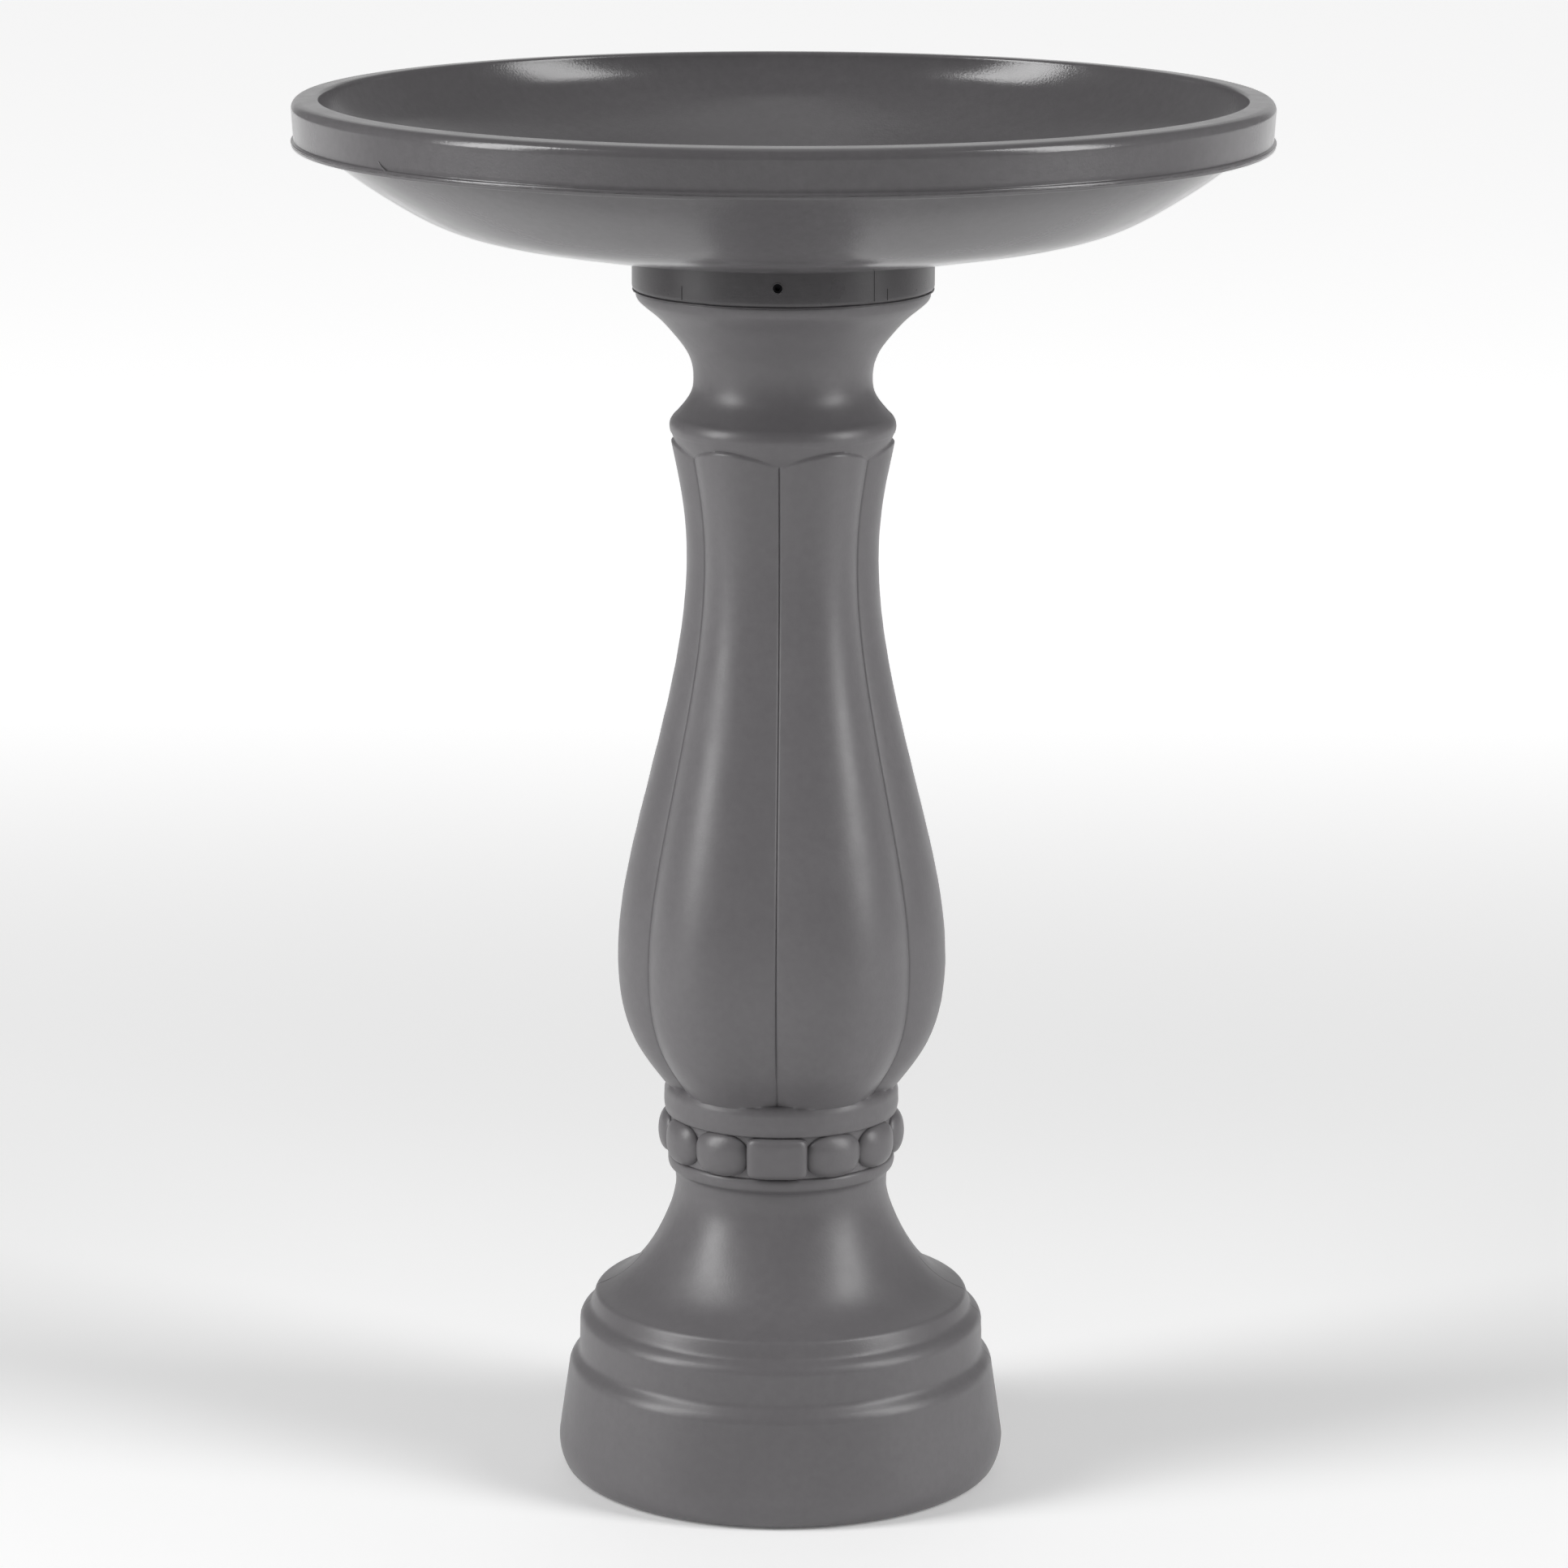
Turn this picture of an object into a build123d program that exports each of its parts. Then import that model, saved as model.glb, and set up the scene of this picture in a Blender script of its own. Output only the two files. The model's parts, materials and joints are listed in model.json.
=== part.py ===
from build123d import *
import os
from math import cos, radians, sin

# Bird bath: a double-walled basin on a hollow baluster pedestal. Millimetres, +Z up,
# origin on the ground at the centre of the foot, the basin's screw hole towards -Y.

# ---- basin ----
rim_diameter = 430.0        # across the seam lip, the widest part
rim_band_height = 20.2      # from the seam up to the crest of the rim
rim_width = 12.0            # top of the rim, from the outside to the lip over the water
band_taper = 0.8            # how much the outer band narrows down to the seam
seam_lip = 1.2              # how far the seam stands out of the band
seam_thickness = 1.2        # each shell's own half of the seam
bowl_drop = 47.2            # from the seam down to the flat under the basin
dish_wall = 3.0
underside_wall = 3.0
shell_gap = 2.5             # air between the two shells
flat_radius = 72.0          # flat centre under the basin, which the collar is welded to
seam_ledge = 10.0           # flat ledge under the band, from its foot in to the bowl
bowl_bend_share = 0.08      # share of the bowl's curve taken by the bend up to the rim

# ---- collar and its screws ----
collar_radius = 66.7
collar_wall = 3.2
collar_height = 17.3
collar_chamfer = 0.8
collar_web = 3.0            # inward flange that sits on the spigot
collar_web_inner_radius = 42.0
screw_radius = 2.0
screw_sink = 0.6            # how far the screw's end lies below the collar's face
screw_socket_across = 2.0
screw_socket_depth = 2.0
screw_thread_pitch = 0.7
screw_thread_depth = 0.25
screw_count = 2
screw_drop = 8.6            # hole centre, above the collar's lower edge

# ---- pedestal ----
pedestal_wall = 3.0
plinth_radius = 101.0
plinth_height = 52.5
step_radius = 91.6
step_height = 21.0
bell_radius = 86.2
bell_edge_height = 10.7
bell_height = 50.3
waist_radius = 47.7
ring_radius = 51.3
ring_height = 6.7
bead_channel_radius = 50.6
bead_channel_height = 19.2
bead_count = 12
bead_proud = 4.0            # how far the beads stand out of their channel
bead_width = 23.0
bead_height = 18.0
tablet_width = 26.0
tablet_height = 17.0
tablet_corner = 3.5
band_radius = 53.0
band_height = 14.2
belly_height = 289.6
belly_radius = 73.8
belly_top_radius = 49.2
throat_radius = 42.9
lobe_count = 6
groove_ratio = 0.91         # groove radius over lobe radius
torus_radius = 50.2
torus_height = 15.0
neck_radius = 39.6
neck_height = 54.1
flare_radius = 63.4
seat_radius = 65.2
spigot_height = 13.8
keyway_width = 5.0          # slots in the spigot that the screws' tips run down
keyway_depth = 4.4

# ---- ballast port, plug and seal in the floor of the foot ----
floor_recess = 5.0
recess_radius = 78.0
port_radius = 15.0
port_collar_wall = 3.0
port_collar_height = 9.0
plug_flange_overlap = 5.5   # flange beyond the port, all round
plug_flange_thickness = 1.8
plug_wall = 2.2
seal_overlap = 4.5          # seal beyond the port, all round
seal_thickness = 1.4
grip_width = 4.0

# ---- clearances ----
spigot_clearance = 0.35
screw_clearance = 0.08
screw_tip_gap = 0.5
seat_gap = 0.3
plug_clearance = 0.08
seal_clearance = 0.3
weld_overrun = 1.0          # how far a part-to-be-joined reaches into its neighbour

# ---- heights of the pedestal's members above the ground ----
z_step = plinth_height
z_bell = z_step + step_height
z_shoulder = z_bell + bell_edge_height
z_waist = z_shoulder + bell_height
z_ring = z_waist + ring_height
z_channel = z_ring + ring_height
z_band = z_channel + bead_channel_height
z_belly = z_band + band_height
z_torus = z_belly + belly_height
z_neck = z_torus + torus_height
z_seat = z_neck + neck_height
z_spigot = z_seat + spigot_height

# ---- heights of the basin's members ----
z_collar = z_seat + seat_gap
z_flat = z_collar + collar_height
z_seam = z_flat + bowl_drop
z_rim = z_seam + rim_band_height
z_screw = z_collar + screw_drop

seam_radius = rim_diameter / 2
band_foot_radius = seam_radius - seam_lip
rim_outer_radius = band_foot_radius + band_taper
lip_radius = rim_outer_radius - rim_width
collar_bore = collar_radius - collar_wall
spigot_radius = collar_bore - spigot_clearance
screw_bore = screw_radius + screw_clearance
plug_radius = port_radius - plug_clearance
plug_flange_radius = port_radius + plug_flange_overlap
seal_radius = port_radius + seal_overlap


def spun(*edges):
    """Solid turned about Z from a closed outline in the XZ plane."""
    return revolve(Face(Wire(edges)), Axis.Z)


def run(*points):
    """Straight edges through (radius, height) points."""
    return [Line((a[0], 0, a[1]), (b[0], 0, b[1])) for a, b in zip(points, points[1:])]


def bow(start, through, end):
    """Arc through three (radius, height) points."""
    return ThreePointArc(*[(r, 0, z) for r, z in (start, through, end)])


def sweep_line(points, start, end):
    """Smooth curve through (radius, height) points with its two end directions."""
    return Spline([(r, 0, z) for r, z in points], tangents=[(r, 0, z) for r, z in (start, end)])


def dish_curve(inset):
    """The basin's bowl, seam to centre, moved inwards from the outer face by inset."""
    fall = bowl_drop
    edge = band_foot_radius - seam_ledge - 0.75 * inset
    across = edge - flat_radius
    points = [(edge, z_seam - 0.8 + 0.6 * inset)]
    for share, depth in ((0.218, 0.462), (0.407, 0.735), (0.632, 0.88)):
        points.append((edge - share * across, z_seam - depth * fall + 0.9 * inset))
    points.append((flat_radius, z_flat + inset))
    return sweep_line(points, (-0.72, -0.69), (-1, 0))


def basin_dish():
    """Upper shell: water bowl, flat-topped rim and outer band down to the seam."""
    water = dish_curve(underside_wall + shell_gap + dish_wall)
    under = dish_curve(underside_wall + shell_gap)
    water_floor = z_flat + underside_wall + shell_gap + dish_wall
    under_edge = under @ 0
    wall = dish_wall
    crest = (lip_radius + 1.5, z_rim)
    brow = (rim_outer_radius - 4.2, z_rim - 0.3)
    shoulder = (rim_outer_radius, z_rim - 5.0)
    lip = (lip_radius, z_rim - 1.8)
    bend, slope = water @ bowl_bend_share, water % bowl_bend_share
    inner_shoulder = (rim_outer_radius - wall, z_rim - 6.5)
    inner_lip = (lip_radius + wall, z_rim - 6.0)
    outer = spun(
        water.trim(bowl_bend_share, 1),
        Line(water @ 1, (0, 0, water_floor)),
        Line((0, 0, water_floor), (0, 0, water_floor - wall)),
        Line((0, 0, water_floor - wall), under @ 1),
        under,
        sweep_line([(under_edge.X, under_edge.Z), inner_lip], (0.72, 0.69), (0.1, 1)),
        bow(inner_lip, ((inner_lip[0] + inner_shoulder[0]) / 2, z_rim - wall), inner_shoulder),
        *run(
            inner_shoulder,
            (band_foot_radius - wall, z_seam),
            (seam_radius, z_seam),
            (seam_radius, z_seam + seam_thickness),
            (band_foot_radius, z_seam + seam_thickness),
            shoulder,
        ),
        bow(shoulder, (rim_outer_radius - 1.0, z_rim - 1.7), brow),
        *run(brow, crest),
        bow(crest, (lip_radius + 0.4, z_rim - 0.5), lip),
        sweep_line([lip, (bend.X, bend.Z)], (-0.12, -1), (slope.X, slope.Z)),
    )
    return outer


def basin_underside():
    """Lower shell, from the seam flange down to the flat that carries the collar."""
    outer = dish_curve(0)
    inner = dish_curve(underside_wall)
    inner_edge = inner @ 0
    outer_edge = outer @ 0
    return spun(
        outer,
        Line(outer @ 1, (0, 0, z_flat)),
        Line((0, 0, z_flat), (0, 0, z_flat + underside_wall)),
        Line((0, 0, z_flat + underside_wall), inner @ 1),
        inner,
        *run(
            (inner_edge.X, inner_edge.Z),
            (band_foot_radius - dish_wall - 2.0, z_seam),
            (seam_radius, z_seam),
            (seam_radius, z_seam - seam_thickness),
            (outer_edge.X, outer_edge.Z),
        ),
    )


def round_the_axis(solid, count, start=0.0):
    """Copies of a solid made at -Y, spaced evenly about the vertical axis."""
    return [Rot(0, 0, start + i * 360 / count) * solid for i in range(count)]


def radial_bore(radius, inner, outer):
    """Cylinder along -Y at the screw height, from one radius out to another."""
    middle = (inner + outer) / 2
    return Pos(0, -middle, z_screw) * Rot(90, 0, 0) * Cylinder(radius, outer - inner)


def basin_collar():
    """Socket ring under the basin, with a web that rests on the pedestal's spigot."""
    edge = collar_radius - collar_chamfer
    ring = spun(
        *run(
            (collar_bore, z_collar),
            (edge, z_collar),
            (collar_radius, z_collar + collar_chamfer),
            (collar_radius, z_flat),
            (collar_web_inner_radius, z_flat),
            (collar_web_inner_radius, z_flat - collar_web),
            (collar_bore, z_flat - collar_web),
            (collar_bore, z_collar),
        )
    )
    bore = radial_bore(screw_bore, collar_bore - weld_overrun, collar_radius + weld_overrun)
    return ring - round_the_axis(bore, screw_count)


def collar_screw():
    """Headless screw with a hexagon socket, its tip in the spigot's keyway."""
    tip = spigot_radius - keyway_depth + screw_tip_gap
    length = collar_radius - screw_sink - tip
    body = Pos(0, 0, length / 2) * Cylinder(screw_radius, length)
    root = screw_radius - screw_thread_depth
    turns = int(length / screw_thread_pitch) - 1
    for i in range(turns):
        height = (i + 0.8) * screw_thread_pitch
        ring = Cylinder(screw_radius + weld_overrun, screw_thread_pitch / 3) - Cylinder(
            root, screw_thread_pitch
        )
        body -= Pos(0, 0, height) * ring
    hexagon = RegularPolygon(screw_socket_across / 2, 6, major_radius=False)
    socket = extrude(hexagon, -screw_socket_depth)
    body -= Pos(0, 0, length) * socket
    return Pos(0, -tip, z_screw) * Rot(90, 0, 0) * body


def belly_outline():
    """Crown line of a lobe, from the band up to the torus."""
    h = belly_height
    slim = throat_radius
    swell = belly_radius - throat_radius
    return Spline(
        (band_radius + 0.6, 0, z_belly),
        (slim + 0.76 * swell, 0, z_belly + 0.065 * h),
        (slim + swell, 0, z_belly + 0.197 * h),
        (slim + 0.7 * swell, 0, z_belly + 0.41 * h),
        (slim + 0.236 * swell, 0, z_belly + 0.617 * h),
        (slim + 0.013 * swell, 0, z_belly + 0.772 * h),
        (slim + 0.127 * (belly_top_radius - slim), 0, z_belly + 0.893 * h),
        (belly_top_radius, 0, z_torus),
    )


def belly_stations(count=14):
    """(radius, height) stations up the crown line, for the lobed sections."""
    crown = belly_outline()
    points = [crown @ (i / count) for i in range(count + 1)]
    return [(point.X, point.Z) for point in points]


def lobed_section(radius, height, inset):
    """Closed wire of equal bows that meet in the grooves."""
    def at(share, angle):
        r = radius * share - inset
        return (r * sin(radians(angle)), -r * cos(radians(angle)), height)

    pitch = 360 / lobe_count
    bows = []
    for i in range(lobe_count):
        start = at(groove_ratio, i * pitch)
        crown = at(1.0, (i + 0.5) * pitch)
        end = at(groove_ratio, (i + 1) * pitch)
        bows.append(ThreePointArc(start, crown, end))
    return Wire(bows)


def lobed_belly(inset, low_cut=0.0, high_cut=0.0):
    """The six-lobed belly, or its cavity when inset by the wall."""
    sections = [lobed_section(r, z, inset) for r, z in belly_stations()]
    belly = Solid.make_loft(sections)
    if low_cut or high_cut:
        height = belly_height - low_cut - high_cut
        middle = z_belly + low_cut + height / 2
        belly = belly & (Pos(0, 0, middle) * Cylinder(2 * belly_radius, height))
    return belly


def foot_and_bell():
    """Plinth, step and bell, solid, up to the waist and the small ring."""
    foot = (plinth_radius - 5.5, 0)
    bulge = (plinth_radius, 14.0)
    brow = (plinth_radius - 4.6, z_step - 4.5)
    crease = (step_radius + 1.6, z_step + 1.0)
    step_low = (step_radius, z_step + 7.0)
    step_high = (step_radius - 0.3, z_bell - 4.0)
    bell_crease = (bell_radius + 1.3, z_bell + 1.8)
    bell_low = (bell_radius, z_bell + 5.5)
    bell_high = (bell_radius - 1.2, z_bell + 7.2)
    flank = (bell_radius - 3.4, z_shoulder - 1.1)
    rise = bell_height
    waist = (waist_radius, z_waist)
    spread = flank[0] - waist_radius
    ring_low = (ring_radius - 0.9, z_ring)
    ring_high = (ring_radius - 1.2, z_channel)
    return spun(
        *run((0, 0), foot),
        bow(foot, (plinth_radius - 1.5, 4.2), bulge),
        *run(bulge, brow),
        bow(brow, (plinth_radius - 5.6, z_step - 0.8), crease),
        bow(crease, (step_radius + 0.4, z_step + 3.6), step_low),
        *run(step_low, step_high),
        bow(step_high, (step_radius - 1.2, z_bell - 0.8), bell_crease),
        bow(bell_crease, (bell_radius + 0.4, z_bell + 3.2), bell_low),
        *run(bell_low, bell_high),
        bow(bell_high, (bell_radius - 2.1, z_shoulder - 2.0), flank),
        sweep_line(
            [
                flank,
                (waist_radius + 0.67 * spread, z_shoulder + 0.1 * rise),
                (waist_radius + 0.37 * spread, z_shoulder + 0.32 * rise),
                (waist_radius + 0.1 * spread, z_shoulder + 0.7 * rise),
                waist,
            ],
            (-0.93, 0.37),
            (0, 1),
        ),
        bow(waist, (waist_radius + 0.8, z_waist + 0.6 * ring_height), ring_low),
        bow(ring_low, (ring_radius, (z_ring + z_channel) / 2), ring_high),
        *run(ring_high, (0, z_channel), (0, 0)),
    )


def bead_band():
    """Channel core and the convex band over it."""
    low = z_band
    high = z_belly
    core = bead_channel_radius
    return spun(
        *run((0, z_channel - weld_overrun), (core, z_channel - weld_overrun), (core, low)),
        *run((core, low), (band_radius - 1.0, low)),
        bow((band_radius - 1.0, low), (band_radius + 0.1, low + 5.5), (band_radius - 1.4, high)),
        *run((band_radius - 1.4, high), (0, high), (0, z_channel - weld_overrun)),
    )


def beads():
    """Round beads about the channel, with a tablet at the front and the back."""
    middle = (z_channel + z_band) / 2
    core = bead_channel_radius
    ball = Sphere(0.5)
    ball = scale(ball, (bead_width, 2 * (bead_proud + 2.0), bead_height))
    bead = Pos(0, -(core - 2.0), middle) * ball
    depth = bead_proud + 4.0
    block = Box(tablet_width, depth, tablet_height)
    block = fillet(block.faces().sort_by(Axis.Y)[0].edges(), tablet_corner)
    tablet = Pos(0, -(core + bead_proud - 0.6 - depth / 2), middle - 0.4) * block
    pitch = 360 / bead_count
    made = []
    for i in range(bead_count):
        is_tablet = i % (bead_count // 2) == 0
        made.append(Rot(0, 0, i * pitch) * (tablet if is_tablet else bead))
    return made


def head():
    """Torus, upper neck, flare, seat and the spigot, solid."""
    torus_foot = (belly_top_radius - 0.8, z_torus + 2.5)
    torus_top = (torus_radius - 3.6, z_neck - 0.5)
    neck = (neck_radius, z_neck + 0.28 * neck_height)
    swell = flare_radius - 2.0 - neck_radius
    flare = (neck_radius + 0.58 * swell, z_neck + 0.72 * neck_height)
    corner = (flare_radius, z_seat - 5.0)
    core = belly_top_radius * groove_ratio
    return spun(
        *run((0, z_torus - weld_overrun), (core, z_torus - weld_overrun), (core, z_torus)),
        *run((core, z_torus), torus_foot),
        bow(torus_foot, (torus_radius, z_torus + 0.6 * torus_height), torus_top),
        sweep_line([torus_top, neck, flare, corner], (-0.62, 1), (1, 0.75)),
        bow(corner, (seat_radius - 0.6, z_seat - 3.0), (seat_radius, z_seat)),
        *run(
            (seat_radius, z_seat),
            (spigot_radius, z_seat),
            (spigot_radius, z_spigot),
            (0, z_spigot),
            (0, z_torus - weld_overrun),
        ),
    )


def lower_cavity():
    """Hollow of the foot, bell and bead band, up to the belly."""
    wall = pedestal_wall
    floor = floor_recess + wall
    flank = (bell_radius - 7.0 - wall, z_shoulder - wall)
    spread = bell_radius - 7.0 - waist_radius
    rise = bell_height
    neck = waist_radius - wall
    top = z_belly + wall
    return spun(
        *run(
            (0, floor),
            (plinth_radius - 3.5 * wall, floor),
            (plinth_radius - wall - 4.6, z_step - 2 * wall),
            (step_radius - wall - 0.3, z_step),
            (step_radius - wall - 0.3, z_bell - 2 * wall),
            (bell_radius - wall - 0.9, z_bell + wall),
            flank,
        ),
        sweep_line(
            [
                flank,
                (neck + 0.41 * spread, z_shoulder + 0.33 * rise - wall),
                (neck, z_waist - wall),
            ],
            (-0.9, 0.5),
            (0, 1),
        ),
        *run((neck, z_waist - wall), (neck, top), (0, top), (0, floor)),
    )


def upper_cavity():
    """Hollow of the torus, neck and flare, up to the roof of the spigot."""
    wall = pedestal_wall
    core = belly_top_radius * groove_ratio - wall
    swell = flare_radius - 2.0 - neck_radius
    bottom = z_torus - 2 * wall
    low = (core, z_torus + 0.8 * torus_height)
    neck = (neck_radius - wall, z_neck + 0.28 * neck_height)
    flare = (neck_radius - wall + 0.58 * swell, z_neck + 0.72 * neck_height + wall)
    inner = spigot_radius - keyway_depth - wall
    seat = (inner, z_seat)
    return spun(
        *run((0, bottom), (core, bottom), low),
        sweep_line([low, neck, flare, seat], (-0.2, 1), (0.5, 1)),
        *run(seat, (inner, z_spigot - wall), (0, z_spigot - wall), (0, bottom)),
    )


def keyways():
    """Upright slots in the spigot, open at its top, one for each screw."""
    height = spigot_height + weld_overrun
    slot = Pos(0, -spigot_radius, z_seat + height / 2) * Box(keyway_width, 2 * keyway_depth, height)
    return round_the_axis(slot, screw_count)


def pedestal():
    """One hollow moulding: foot, bell, beads, lobed belly, neck, flare and spigot."""
    solid = foot_and_bell() + bead_band() + lobed_belly(0.0) + head()
    for bead in beads():
        solid += bead
    wall = pedestal_wall
    solid -= lower_cavity()
    solid -= lobed_belly(wall, low_cut=wall - 0.5, high_cut=wall)
    solid -= upper_cavity()
    recess = Pos(0, 0, floor_recess / 2) * Cylinder(recess_radius, floor_recess)
    top = floor_recess + wall + port_collar_height
    port = Pos(0, 0, top / 2) * Cylinder(port_radius, top)
    sleeve_height = top - floor_recess
    sleeve = Pos(0, 0, floor_recess + sleeve_height / 2) * Cylinder(
        port_radius + port_collar_wall, sleeve_height
    )
    return solid + sleeve - recess - port - keyways()


def ballast_plug():
    """Push-in plug with a flange and a bar to pull it by."""
    seat = floor_recess - seal_thickness
    length = pedestal_wall + port_collar_height + seal_thickness
    flange = Pos(0, 0, seat - plug_flange_thickness / 2) * Cylinder(
        plug_flange_radius, plug_flange_thickness
    )
    barrel = Pos(0, 0, seat + length / 2) * Cylinder(plug_radius, length)
    barrel = chamfer(barrel.edges().sort_by(Axis.Z)[-1], plug_wall / 2)
    plug = flange + barrel
    hollow_depth = length + plug_flange_thickness - plug_wall
    mouth = seat - plug_flange_thickness
    hollow = Pos(0, 0, mouth + hollow_depth / 2) * Cylinder(plug_radius - plug_wall, hollow_depth)
    bar = Pos(0, 0, mouth + hollow_depth / 2) * Box(2 * plug_radius - plug_wall, grip_width, hollow_depth)
    return plug - (hollow - bar)


def plug_seal():
    """Flat washer squeezed between the plug's flange and the foot's floor."""
    middle = floor_recess - seal_thickness / 2
    ring = Cylinder(seal_radius, seal_thickness)
    return Pos(0, 0, middle) * (ring - Cylinder(port_radius + seal_clearance, seal_thickness))


def main():
    """Writes every piece at its place in the assembly."""
    os.makedirs("parts", exist_ok=True)
    screws = round_the_axis(collar_screw(), screw_count)
    pieces = {
        "basin_dish": basin_dish(),
        "basin_underside": basin_underside(),
        "basin_collar": basin_collar(),
        "collar_screw_front": screws[0],
        "collar_screw_back": screws[1],
        "pedestal": pedestal(),
        "ballast_plug": ballast_plug(),
        "plug_seal": plug_seal(),
    }
    for name, piece in pieces.items():
        export_step(piece, f"parts/{name}.step")


if __name__ == "__main__":
    main()
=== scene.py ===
"""Looks of a moulded plastic bird bath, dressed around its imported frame."""

import json
import logging
import math
from dataclasses import dataclass, field
from enum import Enum

import bmesh
import bpy
import numpy as np
from mathutils import Matrix, Vector

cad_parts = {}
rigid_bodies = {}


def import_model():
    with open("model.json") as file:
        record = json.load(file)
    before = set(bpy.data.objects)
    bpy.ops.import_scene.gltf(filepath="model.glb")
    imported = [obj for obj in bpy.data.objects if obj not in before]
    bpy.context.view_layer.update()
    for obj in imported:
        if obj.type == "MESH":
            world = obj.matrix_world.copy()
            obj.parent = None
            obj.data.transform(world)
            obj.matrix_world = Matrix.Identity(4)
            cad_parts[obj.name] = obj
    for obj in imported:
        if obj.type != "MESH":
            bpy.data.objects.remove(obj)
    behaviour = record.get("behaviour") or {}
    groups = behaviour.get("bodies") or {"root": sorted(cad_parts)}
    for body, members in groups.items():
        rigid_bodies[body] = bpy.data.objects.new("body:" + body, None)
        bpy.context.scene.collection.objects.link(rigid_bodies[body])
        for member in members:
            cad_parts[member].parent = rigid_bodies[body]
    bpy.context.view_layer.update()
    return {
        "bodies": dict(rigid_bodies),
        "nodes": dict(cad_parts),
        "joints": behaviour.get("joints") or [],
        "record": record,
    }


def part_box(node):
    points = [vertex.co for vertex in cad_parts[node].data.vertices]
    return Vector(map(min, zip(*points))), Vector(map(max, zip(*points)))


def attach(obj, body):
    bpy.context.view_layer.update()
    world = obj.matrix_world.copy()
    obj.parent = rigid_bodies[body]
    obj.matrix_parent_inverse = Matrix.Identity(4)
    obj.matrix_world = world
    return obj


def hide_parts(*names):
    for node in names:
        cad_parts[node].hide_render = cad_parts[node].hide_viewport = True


LOG = logging.getLogger("bird_bath")
MM = 0.001
SHARP_ANGLE = math.radians(38)
MERGE_DISTANCE = 0.004 * MM

Point = tuple[float, float]


class BeadForm(Enum):
    """The two kinds of bead that sit in the pedestal's channel."""

    ROUND = "round"
    TABLET = "tablet"


# ---------------------------------------------------------------- node helpers


def add_node(tree: bpy.types.NodeTree, kind: str, inputs: dict | None = None, **settings) -> bpy.types.Node:
    """Adds one node with its settings, and links or sets its inputs.

    Args:
        tree: The node tree that gets the node.
        kind: The node's bl_idname.
        inputs: Input name or number to a socket to link, or a value to set.
        settings: Attributes of the node, such as operation.

    Returns:
        The new node.
    """
    node = tree.nodes.new(kind)
    for name, value in settings.items():
        setattr(node, name, value)
    for key, value in (inputs or {}).items():
        socket = node.inputs[key]
        if isinstance(value, bpy.types.NodeSocket):
            tree.links.new(value, socket)
        elif isinstance(value, bpy.types.Node):
            tree.links.new(value.outputs[0], socket)
        else:
            socket.default_value = value
    return node


def linear(hex_colour: str) -> tuple[float, float, float, float]:
    """Turns an sRGB hex value into linear RGBA.

    Args:
        hex_colour: Six hex digits, such as "7a7a7c".

    Returns:
        Linear red, green, blue and full alpha.
    """
    parts = [int(hex_colour[i : i + 2], 16) / 255 for i in (0, 2, 4)]
    red, green, blue = (c / 12.92 if c <= 0.04045 else ((c + 0.055) / 1.055) ** 2.4 for c in parts)
    return red, green, blue, 1.0


# ---------------------------------------------------------------- finishes


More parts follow.
